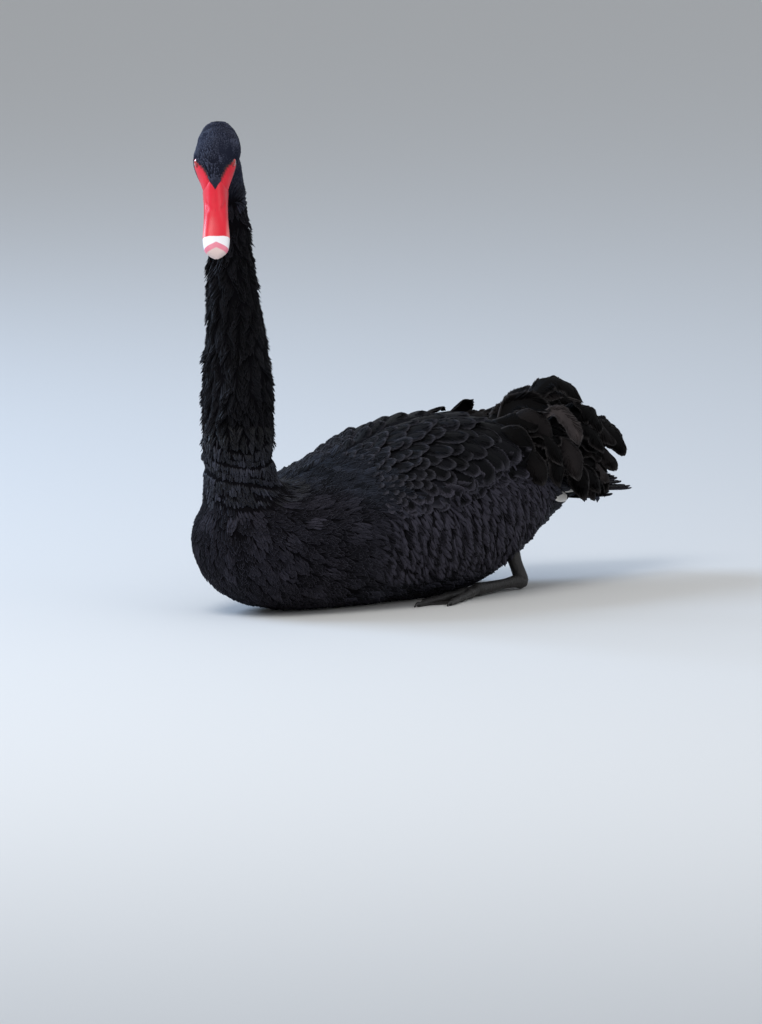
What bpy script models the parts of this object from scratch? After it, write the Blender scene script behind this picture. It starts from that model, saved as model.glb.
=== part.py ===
"""A life-size black swan as it swims, neck up and head turned to its left, laid on the flat of its
belly with its feet tucked under. The bird faces -Y, its left is +X, and the floor is z = 0."""

import math
import random

import bmesh
import bpy
import numpy as np
from mathutils import Matrix, Vector

# Driving dimensions, in millimetres and degrees. Places along the body are measured back from the
# neck's axis, and the origin is on the belly's flat, this far behind that axis.
ORIGIN_BACK = 170.0
GAP = 0.35
HEAD_YAW = 50.0
HEAD_PITCH = 53.0
EYE_MIDPOINT = (18.4, -40.3, 502.0)
EYE_RADIUS = 6.5
EYE_SIDE = 16.6
EYE_FORWARD = 1.0
EYE_HEIGHT = 3.0
LID_THICKNESS = 1.2
LID_INSET = 0.4
LID_OUT = 2.6
LID_HEIGHT_SHARE = 0.86
TRUNK_SIDES = 26
NECK_SIDES = 20
NECK_CUTS = (215.0, 345.0)
NECK_CUT_REACH = 90.0
NECK_CUT_TOP = 620.0

# Side outline and plan of the trunk: place, top, bottom, half width and height of the widest line.
TRUNK = (
    (-53.0, 97.0, 84.0, 6.0, 90.0),
    (-49.0, 113.0, 62.0, 27.0, 88.0),
    (-36.0, 129.0, 38.0, 48.0, 87.0),
    (-8.0, 141.0, 14.0, 70.0, 88.0),
    (35.0, 144.0, 0.0, 90.0, 91.0),
    (90.0, 151.0, -5.0, 106.0, 95.0),
    (150.0, 165.0, -6.0, 115.0, 99.0),
    (220.0, 181.0, -6.0, 117.0, 102.0),
    (290.0, 184.0, -2.0, 108.0, 106.0),
    (350.0, 172.0, 22.0, 90.0, 109.0),
    (400.0, 154.0, 51.0, 67.0, 109.0),
    (437.0, 136.0, 74.0, 47.0, 107.0),
    (450.0, 126.0, 84.0, 34.0, 105.0),
)
TRUNK_ROUND_UP = 2.0
TRUNK_ROUND_DOWN = 2.35

# The neck's own line from inside the breast to inside the head: x, y, z and radius.
NECK = (
    (0.0, 9.0, 84.0, 50.0),
    (-1.0, 4.0, 130.0, 48.0),
    (-1.0, -1.0, 175.0, 43.5),
    (-0.5, -0.5, 215.0, 42.0),
    (0.0, 0.0, 262.0, 41.0),
    (-0.5, -0.5, 300.0, 37.0),
    (-1.5, -2.0, 345.0, 32.0),
    (-3.0, -4.0, 395.0, 26.5),
    (-4.5, -6.0, 440.0, 24.5),
    (-4.0, -11.0, 475.0, 24.0),
    (2.5, -20.0, 500.0, 23.0),
    (8.0, -26.0, 506.0, 18.0),
)

# The feathered head along its own axis from the eyes: place, middle height, half height, half width.
HEAD = (
    (-50.0, 1.0, 4.0, 4.0),
    (-47.0, 1.0, 12.0, 11.5),
    (-38.0, 0.5, 20.5, 19.5),
    (-25.0, -1.0, 25.5, 24.5),
    (-9.0, -2.5, 27.0, 26.5),
    (6.0, -5.0, 25.0, 23.5),
    (19.0, -8.0, 21.5, 18.0),
    (31.0, -10.5, 17.5, 14.0),
    (36.0, -11.0, 12.0, 9.0),
)
HEAD_SIDES = 24

# The bill along the same axis: place, height of the top, of the mouth's line and of the underside,
# and half width.
BILL = (
    (16.0, 8.0, -20.0, -28.0, 13.5),
    (27.0, 8.5, -20.0, -29.5, 14.0),
    (45.0, 0.5, -19.5, -28.5, 13.2),
    (65.0, -7.0, -20.0, -27.5, 13.6),
    (84.0, -11.0, -20.5, -26.5, 14.8),
    (97.5, -13.5, -21.0, -26.0, 14.0),
    (106.0, -16.5, -22.0, -25.5, 9.5),
    (109.5, -20.0, -23.0, -24.8, 4.0),
)
BILL_SIDES = 20
BILL_ROUND = 2.4
LOWER_BILL_SHARE = 0.88
NOSTRIL_PLACE = (52.0, 9.8, -6.5)
NOSTRIL_SIZE = (5.5, 2.4, 1.9)

# The folded wing's bulk over the trunk: place, angle of its lower edge from the top, and thickness.
WING = (
    (70.0, 40.0, 2.5),
    (100.0, 66.0, 3.5),
    (135.0, 74.0, 5.5),
    (170.0, 76.0, 9.5),
    (200.0, 76.0, 14.0),
    (240.0, 74.0, 17.0),
    (285.0, 66.0, 19.0),
    (320.0, 58.0, 20.0),
    (365.0, 57.0, 21.0),
    (410.0, 62.0, 19.0),
    (452.0, 74.0, 14.0),
)
WING_EDGE_THINNING = (0.62, 2.2)
WING_SUNK = 3.0
WING_ANGLES = 6
DORSAL_GAP = 0.6

# Vanes by their places along the length, and a feather's width there as a share of its widest.
LONG_VANE = ((0.0, 0.45), (0.3, 0.85), (0.6, 1.0), (0.86, 0.8), (1.0, 0.26))
SHORT_VANE = ((0.0, 0.55), (0.42, 0.95), (0.8, 0.86), (1.0, 0.3))
VANE_SHAFT = 1.3
VANE_EDGE = 0.7
ROOT_SUNK = 2.6

# Coverts: the rows' places, and the first and last rows' vane length and width.
COVERT_ROWS = (128.0, 172.0, 216.0, 260.0, 303.0)
COVERT_LENGTHS = (58.0, 72.0)
COVERT_WIDTHS = (40.0, 50.0)
COVERT_LIFT = (6.0, 10.0)
COVERT_CURL = -12.0
COVERT_ROLL = 3.0
COVERT_CAMBER = 6.0
# How steeply the coverts fall towards the lower edge, at the wing's top line and at that edge.
COVERT_FALL = (0.0, 0.32)

# Secondaries along the lower edge, from the first's place to the last's.
SECONDARY_PLACES = (172.0, 300.0)
SECONDARIES = 5
SECONDARY_SIZE = (92.0, 32.0)
SECONDARY_BENDS = (2.2, -11.0, 4.0, 8.0)

# The curled inner feathers in rows: place, how many, lift from the body, curl to the tip, length.
CURL_ROWS = (
    (338.0, 3, 14.0, 16.0, 78.0),
    (374.0, 3, 32.0, 26.0, 82.0),
    (406.0, 3, 32.0, 14.0, 88.0),
    (436.0, 4, 20.0, 6.0, 98.0),
)
CURL_STEP = 10.0
CURL_WIDTH = 46.0
CURL_FALL = 26.0
CURL_CAMBER = 12.0

# Primaries low on the rump: the first root, the step to the next, and their size and aim.
PRIMARY_ROOT = (62.0, 388.0, 116.0)
PRIMARY_STEP = (-2.4, 9.0, -3.5)
PRIMARIES = 4
PRIMARY_SIZE = (96.0, 17.0)
PRIMARY_AIM = (-0.16, 1.0, -0.10)
PRIMARY_FACING = (1.0, 0.15, 0.35)
PRIMARY_BENDS = (-4.0, 4.0, 8.0)

# The tail's bulk behind the trunk: place, top, bottom and half width.
TAIL = (
    (450.4, 125.0, 85.0, 33.0),
    (470.0, 121.0, 88.0, 35.0),
    (492.0, 113.0, 93.0, 31.0),
    (506.0, 106.0, 97.0, 24.0),
)
TAIL_SIDES = 16

# Tail feathers in tiers: root's place, height and half spread, how many, length, width, lift.
TAIL_TIERS = (
    (466.0, 119.5, 18.0, 3, 64.0, 30.0, -5.0),
    (490.0, 105.0, 25.0, 7, 66.0, 20.0, -2.0),
    (468.0, 93.0, 15.0, 3, 58.0, 28.0, 2.0),
)
TAIL_FAN = 26.0
TAIL_EDGE_BACK = 5.0
TAIL_CAMBER = 3.0
VANE_STEP = 1.8

# Each foot on the floor, under the flank: its ankle, its toes' root, and the inner, middle and
# outer toes' tips, given for the left.
ANKLE = (62.0, 352.0, 10.0)
TOE_ROOT = (76.0, 276.0, 8.0)
TOE_TIPS = ((80.0, 196.0), (99.0, 170.0), (117.0, 200.0))
SHIN_TOP = (50.0, 346.0, 48.0)
TOE_RADIUS = 5.5
TOE_TIP_HEIGHT = 2.0
SHIN_RADIUS = 8.5
WEB_THICKNESS = 2.2
WEB_NOTCH = 9.0
# Places along a toe and its thickness there, and places of the web's rows, as shares.
TOE_ROWS = ((-0.04, 1.28), (0.3, 1.03), (0.6, 0.8), (0.92, 0.56), (1.04, 0.47))
WEB_ROWS = (0.12, 0.4, 0.65, 0.86)

PLUMAGE = (0.012, 0.012, 0.014)
BILL_RED = (0.62, 0.02, 0.03)
EYE_RED = (0.45, 0.01, 0.01)
FOOT_GREY = (0.035, 0.033, 0.033)


def place(point):
    """A point in millimetres, back from the neck's axis, as metres from the origin."""
    x, y, z = point
    return Vector((x, y - ORIGIN_BACK, z)) * 0.001


def clear_scene():
    for old in list(bpy.data.objects):
        bpy.data.objects.remove(old, do_unlink=True)


def new_collection(name):
    made = bpy.data.collections.new(name)
    bpy.context.scene.collection.children.link(made)
    return made


def new_material(name, colour, roughness):
    made = bpy.data.materials.new(name)
    made.use_nodes = True
    shader = made.node_tree.nodes["Principled BSDF"]
    shader.inputs["Base Color"].default_value = (*colour, 1.0)
    shader.inputs["Roughness"].default_value = roughness
    shader.inputs["Metallic"].default_value = 0.0
    return made


def new_object(name, mesh, group):
    """An object from a bmesh, which is freed, with its faces turned outwards."""
    bmesh.ops.recalc_face_normals(mesh, faces=mesh.faces)
    data = bpy.data.meshes.new(name)
    mesh.to_mesh(data)
    mesh.free()
    made = bpy.data.objects.new(name, data)
    group.objects.link(made)
    return made


def smooth_rows(rows, steps):
    """The table's rows with more between them, on one smooth curve through them all."""
    table = np.array(rows, float)
    ends = np.vstack([2 * table[0] - table[1], table, 2 * table[-1] - table[-2]])
    found = []
    for i in range(len(table) - 1):
        a, b, c, d = ends[i : i + 4]
        for t in np.linspace(0.0, 1.0, steps, endpoint=False):
            square = (2 * a - 5 * b + 4 * c - d) * t**2
            cube = (3 * b - a - 3 * c + d) * t**3
            found.append(0.5 * (2 * b + (c - a) * t + square + cube))
    found.append(table[-1])
    return np.array(found)


def rounded(value, power):
    """A sine or cosine on a squarer or softer oval."""
    return math.copysign(abs(value) ** (2.0 / power), value)


def loft(name, rings, group):
    """A closed mesh through rings of like points, its ends closed by a flat face each."""
    mesh = bmesh.new()
    rows = [[mesh.verts.new(place(p)) for p in ring] for ring in rings]
    count = len(rows[0])
    for near, far in zip(rows, rows[1:]):
        for i in range(count):
            j = (i + 1) % count
            mesh.faces.new((near[i], near[j], far[j], far[i]))
    mesh.faces.new(list(reversed(rows[0])))
    mesh.faces.new(rows[-1])
    return new_object(name, mesh, group)


def slab(name, upper, lower, group):
    """A closed thin body between two like grids of points, split alike on both faces."""
    mesh = bmesh.new()
    top = [[mesh.verts.new(place(p)) for p in row] for row in upper]
    under = [[mesh.verts.new(place(p)) for p in row] for row in lower]
    rows, columns = len(top), len(top[0])
    for i in range(rows - 1):
        for j in range(columns - 1):
            for a, b, c in (((i, j), (i + 1, j), (i + 1, j + 1)), ((i, j), (i + 1, j + 1), (i, j + 1))):
                mesh.faces.new((top[a[0]][a[1]], top[b[0]][b[1]], top[c[0]][c[1]]))
                mesh.faces.new((under[c[0]][c[1]], under[b[0]][b[1]], under[a[0]][a[1]]))
    rim = [(i, 0) for i in range(rows)]
    rim += [(rows - 1, j) for j in range(1, columns)]
    rim += [(i, columns - 1) for i in range(rows - 2, -1, -1)]
    rim += [(0, j) for j in range(columns - 2, 0, -1)]
    for (i, j), (k, m) in zip(rim, rim[1:] + rim[:1]):
        mesh.faces.new((top[i][j], under[i][j], under[k][m]))
        mesh.faces.new((top[i][j], under[k][m], top[k][m]))
    return new_object(name, mesh, group)


def evaluated_mesh(shape):
    """The object's mesh with its modifiers applied."""
    bpy.context.view_layer.update()
    graph = bpy.context.evaluated_depsgraph_get()
    return bpy.data.meshes.new_from_object(shape.evaluated_get(graph))


def largest_surface(mesh_data):
    """Drops every loose or sealed-in surface but the one with the most points."""
    mesh = bmesh.new()
    mesh.from_mesh(mesh_data)
    left = set(mesh.verts)
    islands = []
    while left:
        found = {left.pop()}
        edge = list(found)
        while edge:
            near = {e.other_vert(v) for v in edge for e in v.link_edges} & left
            left -= near
            found |= near
            edge = list(near)
        islands.append(found)
    kept = max(islands, key=len)
    bmesh.ops.delete(mesh, geom=[v for v in mesh.verts if v not in kept], context="VERTS")
    mesh.to_mesh(mesh_data)
    mesh.free()


def combine(shape, others, operation, solver="EXACT"):
    """Joins or cuts the shape with the others by one Boolean, applied, and removes them.

    The exact solver leaves open seams where many thin vanes cross, and those take MANIFOLD."""
    group = new_collection(shape.name + "_" + operation.lower())
    for other in others:
        for owner in list(other.users_collection):
            owner.objects.unlink(other)
        group.objects.link(other)
    boolean = shape.modifiers.new(operation.lower(), "BOOLEAN")
    boolean.operation = operation
    boolean.operand_type = "COLLECTION"
    boolean.collection = group
    boolean.solver = solver
    finished = evaluated_mesh(shape)
    shape.modifiers.clear()
    shape.data = finished
    largest_surface(finished)
    for other in list(group.objects):
        bpy.data.objects.remove(other, do_unlink=True)
    bpy.data.collections.remove(group)


def swollen(shape, amount, group):
    """A copy of a shape with its surface moved outwards by an amount in millimetres."""
    mesh = bmesh.new()
    mesh.from_mesh(shape.data)
    mesh.normal_update()
    for point in mesh.verts:
        point.co += point.normal * amount * 0.001
    return new_object(shape.name + "_swollen", mesh, group)


def box(name, low, high, group):
    mesh = bmesh.new()
    bmesh.ops.create_cube(mesh, size=1.0)
    for point in mesh.verts:
        share = point.co + Vector((0.5, 0.5, 0.5))
        point.co = place([a + (b - a) * s for a, b, s in zip(low, high, share)])
    return new_object(name, mesh, group)


TRUNK_CURVE = smooth_rows(TRUNK, 8)


def trunk_section(back):
    return [float(np.interp(back, TRUNK_CURVE[:, 0], TRUNK_CURVE[:, k])) for k in range(1, 5)]


def trunk_point(back, angle):
    """A point on the trunk's left side, at an angle in radians down from its top line."""
    top, bottom, half_width, middle = trunk_section(back)
    across, up = math.sin(angle), math.cos(angle)
    power = TRUNK_ROUND_UP if up > 0 else TRUNK_ROUND_DOWN
    rise = top - middle if up > 0 else middle - bottom
    return Vector((half_width * rounded(across, power), back, middle + rise * rounded(up, power)))


def trunk_normal(back, angle):
    step = 0.03
    along = trunk_point(back + 2.0, angle) - trunk_point(back - 2.0, angle)
    around = trunk_point(back, angle + step) - trunk_point(back, angle - step)
    return along.cross(around).normalized() * -1.0


def make_torso(group):
    rings = []
    for back in smooth_rows(TRUNK, 2)[:, 0]:
        ring = [trunk_point(back, 2 * math.pi * i / TRUNK_SIDES) for i in range(TRUNK_SIDES)]
        rings.append([(p.x, p.y, max(p.z, 0.0)) for p in ring])
    return loft("torso", rings, group)


def tube_rings(rows, sides):
    """Round sections square to a line, from rows of x, y, z and radius."""
    centres = [Vector(row[:3]) for row in rows]
    side = Vector((1.0, 0.0, 0.0))
    rings = []
    for i, row in enumerate(rows):
        before, after = centres[max(i - 1, 0)], centres[min(i + 1, len(rows) - 1)]
        along = (after - before).normalized()
        side = (side - along * side.dot(along)).normalized()
        other = along.cross(side)
        turns = [2 * math.pi * k / sides for k in range(sides)]
        rings.append([centres[i] + (side * math.cos(a) + other * math.sin(a)) * row[3] for a in turns])
    return rings


def head_frame():
    """From the head's own axes (forward, left, up) to the bird's, in millimetres."""
    yaw, pitch = math.radians(HEAD_YAW), math.radians(HEAD_PITCH)
    facing = Vector((math.sin(yaw), -math.cos(yaw), 0.0))
    up = Vector((0.0, 0.0, 1.0))
    forward = facing * math.cos(pitch) - up * math.sin(pitch)
    crown = facing * math.sin(pitch) + up * math.cos(pitch)
    left = crown.cross(forward)
    frame = Matrix((forward, left, crown)).transposed().to_4x4()
    frame.translation = Vector(EYE_MIDPOINT)
    return frame


def ball(name, centre, radii, frame, group, segments, rings):
    """A rounded form about a point of the head's frame, with its poles to left and right."""
    mesh = bmesh.new()
    bmesh.ops.create_uvsphere(mesh, u_segments=segments, v_segments=rings, radius=1.0)
    for point in mesh.verts:
        x, y, z = point.co
        forward, left, up = x * radii[0], z * radii[1], y * radii[2]
        point.co = place(frame @ (Vector(centre) + Vector((forward, left, up))))
    return new_object(name, mesh, group)


def lid(side, frame, group):
    """A soft ring round an eye, its outer edge lying in the side of the head."""
    rings = []
    turns, sides = 14, 5
    centre = Vector((EYE_FORWARD, side * EYE_SIDE, EYE_HEIGHT))
    mesh = bmesh.new()
    for k in range(turns):
        a = 2 * math.pi * k / turns
        ring = []
        for m in range(sides):
            b = 2 * math.pi * m / sides
            reach = EYE_RADIUS - LID_INSET + LID_THICKNESS * math.cos(b)
            out = LID_OUT + 1.5 * LID_THICKNESS * math.sin(b)
            high = LID_HEIGHT_SHARE * reach * math.sin(a)
            local = centre + Vector((reach * math.cos(a), side * out, high))
            ring.append(mesh.verts.new(place(frame @ local)))
        rings.append(ring)
    for near, far in zip(rings, rings[1:] + rings[:1]):
        for m in range(sides):
            n = (m + 1) % sides
            mesh.faces.new((near[m], near[n], far[n], far[m]))
    return new_object(f"lid_{side}", mesh, group)


def bill_half(name, frame, rows, share, group):
    """One half of the bill, flat at the mouth's line, from rows of place, far height, line, width."""
    rings = []
    for forward, far, line, half_width in rows:
        ring = []
        for k in range(BILL_SIDES // 2 + 1):
            a = math.pi * k / (BILL_SIDES // 2)
            across = share * half_width * rounded(math.cos(a), BILL_ROUND)
            height = line + (far - line) * rounded(math.sin(a), BILL_ROUND)
            ring.append(frame @ Vector((forward, across, height)))
        rings.append(ring)
    return loft(name, rings, group)


def make_head_pieces(group):
    frame = head_frame()
    rings = []
    for forward, middle, high, wide in smooth_rows(HEAD, 2):
        turns = [2 * math.pi * k / HEAD_SIDES for k in range(HEAD_SIDES)]
        rings.append(
            [frame @ Vector((forward, wide * math.sin(a), middle + high * math.cos(a))) for a in turns]
        )
    head = loft("head", rings, group)
    rows = smooth_rows(BILL, 2)
    upper_rows = [(f, top, line + GAP / 2, wide) for f, top, line, under, wide in rows]
    lower_rows = [(f, under, line - GAP / 2, wide) for f, top, line, under, wide in rows[:-2]]
    upper = bill_half("bill_upper", frame, upper_rows, 1.0, group)
    lower = bill_half("bill_lower", frame, lower_rows, LOWER_BILL_SHARE, group)
    nostrils = []
    for side in (-1, 1):
        forward, left, up = NOSTRIL_PLACE
        nostrils.append(ball("nostril", (forward, side * left, up), NOSTRIL_SIZE, frame, group, 10, 6))
    combine(upper, nostrils, "DIFFERENCE")
    head_room = swollen(head, GAP, group)
    combine(head, [lid(side, frame, group) for side in (-1, 1)], "UNION")
    cutters = [swollen(upper, GAP, group), swollen(lower, GAP, group)]
    eyes = []
    for side, name in ((1, "eye_left"), (-1, "eye_right")):
        centre = (EYE_FORWARD, side * EYE_SIDE, EYE_HEIGHT)
        radius = EYE_RADIUS
        eyes.append(ball(name, centre, (radius, radius, radius), frame, group, 14, 10))
        swell = EYE_RADIUS + GAP
        cutters.append(ball("socket", centre, (swell, swell, swell), frame, group, 14, 10))
    combine(head, cutters, "DIFFERENCE")
    return head, head_room, upper, lower, eyes


def make_neck(torso, head_room, group):
    lengths = []
    rows = smooth_rows(NECK, 2)
    reach = NECK_CUT_REACH
    levels = (0.0, *NECK_CUTS, NECK_CUT_TOP)
    for name, low, high in zip(("neck_lower", "neck_middle", "neck_upper"), levels, levels[1:]):
        length = loft(name, tube_rings(rows, NECK_SIDES), group)
        cutters = []
        if low > 0.0:
            cutters.append(box("below", (-reach, -reach, 0.0), (reach, reach, low + GAP / 2), group))
        else:
            cutters.append(swollen(torso, GAP, group))
        if high < NECK_CUT_TOP:
            top = (reach, reach, NECK_CUT_TOP)
            cutters.append(box("above", (-reach, -reach, high - GAP / 2), top, group))
        else:
            cutters.append(head_room)
        combine(length, cutters, "DIFFERENCE")
        lengths.append(length)
    return lengths


def wing_thickness(back, share):
    """The wing's depth over the trunk, less at its lower edge."""
    rows = np.array(WING)
    deep = float(np.interp(back, rows[:, 0], rows[:, 2]))
    loss, power = WING_EDGE_THINNING
    return deep * (1.0 - loss * share**power)


def wing_point(back, share):
    """A point on the left wing's outer surface, from its top line at 0 to its lower edge at 1."""
    rows = np.array(WING)
    edge = math.radians(float(np.interp(back, rows[:, 0], rows[:, 1])))
    angle = edge * share
    return trunk_point(back, angle) + trunk_normal(back, angle) * wing_thickness(back, share)


def vane(name, stations, root, forward, normal, size, bends, side, group):
    """One feather's vane: a thin, cambered blade from its root, with its tip rounded.

    The bends are its lift from the body at the root, its curl by the tip, its roll about its own
    length and its camber, in degrees. The side mirrors the whole to the right when it is -1."""
    length, width = size
    lift, curl, roll, camber = bends
    forward = forward.normalized()
    normal = (normal - forward * normal.dot(forward)).normalized()
    across = forward.cross(normal)
    turn = Matrix.Rotation(math.radians(roll), 3, forward)
    across, normal = turn @ across, turn @ normal
    upper, lower = [], []
    centre, before = Vector(root), 0.0
    for along, share in stations:
        angle = math.radians(lift + curl * ((along + before) / 2) ** 1.5)
        heading = forward * math.cos(angle) + normal * math.sin(angle)
        centre = centre + heading * (along - before) * length
        facing = normal * math.cos(angle) - forward * math.sin(angle)
        half = 0.5 * width * share
        drop = half * math.sin(math.radians(camber))
        thick = VANE_SHAFT * (1.0 - 0.4 * along)
        line = [centre - across * half - facing * drop, centre, centre + across * half - facing * drop]
        depths = [VANE_EDGE / 2, thick / 2, VANE_EDGE / 2]
        raised = [p + facing * d for p, d in zip(line, depths)]
        sunk = [p - facing * d for p, d in zip(line, depths)]
        upper.append([(side * p.x, p.y, p.z) for p in raised])
        lower.append([(side * p.x, p.y, p.z) for p in sunk])
        before = along
    return slab(name, upper, lower, group)


def wing_axes(back, share):
    """The wing's surface at a point: the point, its outward normal, and the ways back and down."""
    point = wing_point(back, share)
    along = (wing_point(back + 3.0, share) - wing_point(back - 3.0, share)).normalized()
    down = (wing_point(back, share + 0.02) - wing_point(back, share - 0.02)).normalized()
    normal = down.cross(along)
    if normal.x + normal.z < 0.0:
        normal = -normal
    return point, normal, along, down


def wing_vanes(side, group):
    """The left wing's vanes, tier by tier, mirrored for the right and varied by their own seed."""
    draw = random.Random(20 + side)
    vanes = []
    for row, back in enumerate(COVERT_ROWS):
        grown = row / (len(COVERT_ROWS) - 1)
        length = COVERT_LENGTHS[0] + (COVERT_LENGTHS[1] - COVERT_LENGTHS[0]) * grown
        width = COVERT_WIDTHS[0] + (COVERT_WIDTHS[1] - COVERT_WIDTHS[0]) * grown
        lift = COVERT_LIFT[0] + (COVERT_LIFT[1] - COVERT_LIFT[0]) * grown
        span = sum((wing_point(back, (k + 1) / 8) - wing_point(back, k / 8)).length for k in range(8))
        count = max(2, int(span / (width * 0.97)))
        for k in range(count):
            share = (k + 0.5 + 0.2 * (-1) ** row) / count
            point, normal, along, down = wing_axes(back + draw.uniform(-3.0, 3.0), share)
            fall = COVERT_FALL[0] + (COVERT_FALL[1] - COVERT_FALL[0]) * share
            aim = along + down * (fall + draw.uniform(-0.06, 0.06))
            curl = COVERT_CURL + draw.uniform(-2.5, 2.5)
            bends = (lift + draw.uniform(-1.0, 1.0), curl, COVERT_ROLL, COVERT_CAMBER)
            size = (length * draw.uniform(0.94, 1.06), width)
            root = point - normal * ROOT_SUNK
            name = f"covert_{row}_{k}"
            vanes.append(vane(name, SHORT_VANE, root, aim, normal, size, bends, side, group))
    first, last = SECONDARY_PLACES
    for k in range(SECONDARIES):
        back = first + (last - first) * k / (SECONDARIES - 1)
        point, normal, along, down = wing_axes(back, 0.95)
        aim = along + down * draw.uniform(0.02, 0.10)
        lift, curl, roll, camber = SECONDARY_BENDS
        bends = (lift + draw.uniform(-0.7, 0.7), curl + draw.uniform(-3.0, 3.0), roll, camber)
        root = point - normal * ROOT_SUNK
        name, size = f"secondary_{k}", SECONDARY_SIZE
        vanes.append(vane(name, SHORT_VANE, root, aim, normal, size, bends, side, group))
    for row, (back, count, lift, curl, length) in enumerate(CURL_ROWS):
        for k in range(count):
            share = (k + 0.45) / count
            point, normal, along, down = wing_axes(back + draw.uniform(-5.0, 5.0), share)
            aim = along + down * (0.30 * share + draw.uniform(-0.18, 0.18))
            stand = lift * (1.0 - 0.35 * share) + CURL_STEP * ((k + row) % 2)
            stand += draw.uniform(-2.0, 2.0)
            bent = curl - CURL_FALL * share + draw.uniform(-8.0, 8.0)
            bends = (stand, bent, draw.uniform(-7.0, 7.0), CURL_CAMBER)
            size = (length * draw.uniform(0.9, 1.08), CURL_WIDTH * draw.uniform(0.85, 1.05))
            root = point - normal * ROOT_SUNK
            name = f"curl_{row}_{k}"
            vanes.append(vane(name, LONG_VANE, root, aim, normal, size, bends, side, group))
    for k in range(PRIMARIES):
        root = Vector(PRIMARY_ROOT) + Vector(PRIMARY_STEP) * k
        aim, facing = Vector(PRIMARY_AIM), Vector(PRIMARY_FACING)
        bends = (draw.uniform(-1.0, 1.0), *PRIMARY_BENDS)
        name, size = f"primary_{k}", PRIMARY_SIZE
        vanes.append(vane(name, SHORT_VANE, root, aim, facing, size, bends, side, group))
    return vanes


def make_wing(name, side, torso, tail, group):
    upper, lower = [], []
    rows = np.array(WING)
    for back in rows[:, 0]:
        outer, inner = [], []
        edge = math.radians(float(np.interp(back, rows[:, 0], rows[:, 1])))
        for k in range(WING_ANGLES):
            share = k / (WING_ANGLES - 1)
            point = wing_point(back, share)
            root = trunk_point(back, edge * share) - trunk_normal(back, edge * share) * WING_SUNK
            outer.append((side * max(point.x, DORSAL_GAP), point.y, point.z))
            inner.append((side * max(root.x, DORSAL_GAP), root.y, root.z))
        upper.append(outer)
        lower.append(inner)
    wing = slab(name, upper, lower, group)
    combine(wing, wing_vanes(side, group), "UNION", "MANIFOLD")
    reach = 700.0
    middle = [side * DORSAL_GAP * 0.7, -side * reach]
    past = box("past_middle", (min(middle), -reach, 0.0), (max(middle), reach, reach), group)
    combine(wing, [swollen(torso, GAP, group), swollen(tail, GAP, group), past], "DIFFERENCE", "MANIFOLD")
    return wing


def make_tail(group):
    rings = []
    for back, top, bottom, wide in smooth_rows(TAIL, 2):
        middle, high = (top + bottom) / 2, (top - bottom) / 2
        turns = [2 * math.pi * k / TAIL_SIDES for k in range(TAIL_SIDES)]
        rings.append([(wide * math.sin(a), back, middle + high * math.cos(a)) for a in turns])
    tail = loft("tail", rings, group)
    draw = random.Random(5)
    vanes = []
    for tier, (back, height, spread, count, length, width, lift) in enumerate(TAIL_TIERS):
        for k in range(count):
            share = 2.0 * (k + 0.5) / count - 1.0
            fan = math.radians(TAIL_FAN * share)
            apart = abs(k - (count - 1) / 2) * VANE_STEP + (0.5 * VANE_STEP if share < 0.0 else 0.0)
            root = Vector((spread * share, back - TAIL_EDGE_BACK * share**2, height - apart))
            aim = Vector((math.sin(fan), math.cos(fan), 0.0))
            bends = (lift, draw.uniform(-2.0, 2.0), 0.0, TAIL_CAMBER)
            size = (length * draw.uniform(0.95, 1.05), width)
            up = Vector((0.0, 0.0, 1.0))
            vanes.append(vane(f"tail_{tier}_{k}", LONG_VANE, root, aim, up, size, bends, 1, group))
    combine(tail, vanes, "UNION", "MANIFOLD")
    return tail


def flat_tube(name, rows, sides, group):
    """A tapered tube that lies on the floor with a flat under it."""
    rings = [[(p.x, p.y, max(p.z, 0.0)) for p in ring] for ring in tube_rings(rows, sides)]
    return loft(name, rings, group)


def make_foot(name, side, torso, group):
    root, ankle, top = Vector(TOE_ROOT), Vector(ANKLE), Vector(SHIN_TOP)
    flip = Vector((side, 1.0, 1.0))

    def row(point, radius):
        return (*(Vector(point) * flip), radius)

    shin = [row(top, SHIN_RADIUS * 1.3)]
    shin.append(row(ankle.lerp(top, 0.5), SHIN_RADIUS))
    shin.append(row(ankle, SHIN_RADIUS * 1.1))
    shin.append(row(ankle.lerp(root, 0.35), SHIN_RADIUS * 0.8))
    shin.append(row(root, SHIN_RADIUS))
    foot = flat_tube(name, shin, 10, group)
    toes = []
    for k, (x, y) in enumerate(TOE_TIPS):
        tip = Vector((x, y, TOE_TIP_HEIGHT))
        rows = [row(root.lerp(tip, t), TOE_RADIUS * thick) for t, thick in TOE_ROWS]
        toes.append(flat_tube(f"toe_{k}", rows, 8, group))
    upper, lower = [], []
    for t in WEB_ROWS:
        line = [root.lerp(Vector((x, y, 0.0)), t) for x, y in TOE_TIPS]
        middles = [line[0].lerp(line[1], 0.5), line[1].lerp(line[2], 0.5)]
        across = [line[0], middles[0], line[1], middles[1], line[2]]
        for k in (1, 3):
            across[k].y += WEB_NOTCH * t * t
        upper.append([(side * p.x, p.y, WEB_THICKNESS) for p in across])
        lower.append([(side * p.x, p.y, 0.0) for p in across])
    toes.append(slab("web", upper, lower, group))
    combine(foot, toes, "UNION")
    combine(foot, [swollen(torso, GAP, group)], "DIFFERENCE")
    return foot


def finish(shapes, material):
    for shape in shapes:
        shape.data.materials.clear()
        shape.data.materials.append(material)
        shape.data.shade_smooth()
        shape.data.set_sharp_from_angle(angle=math.radians(40))


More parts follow.
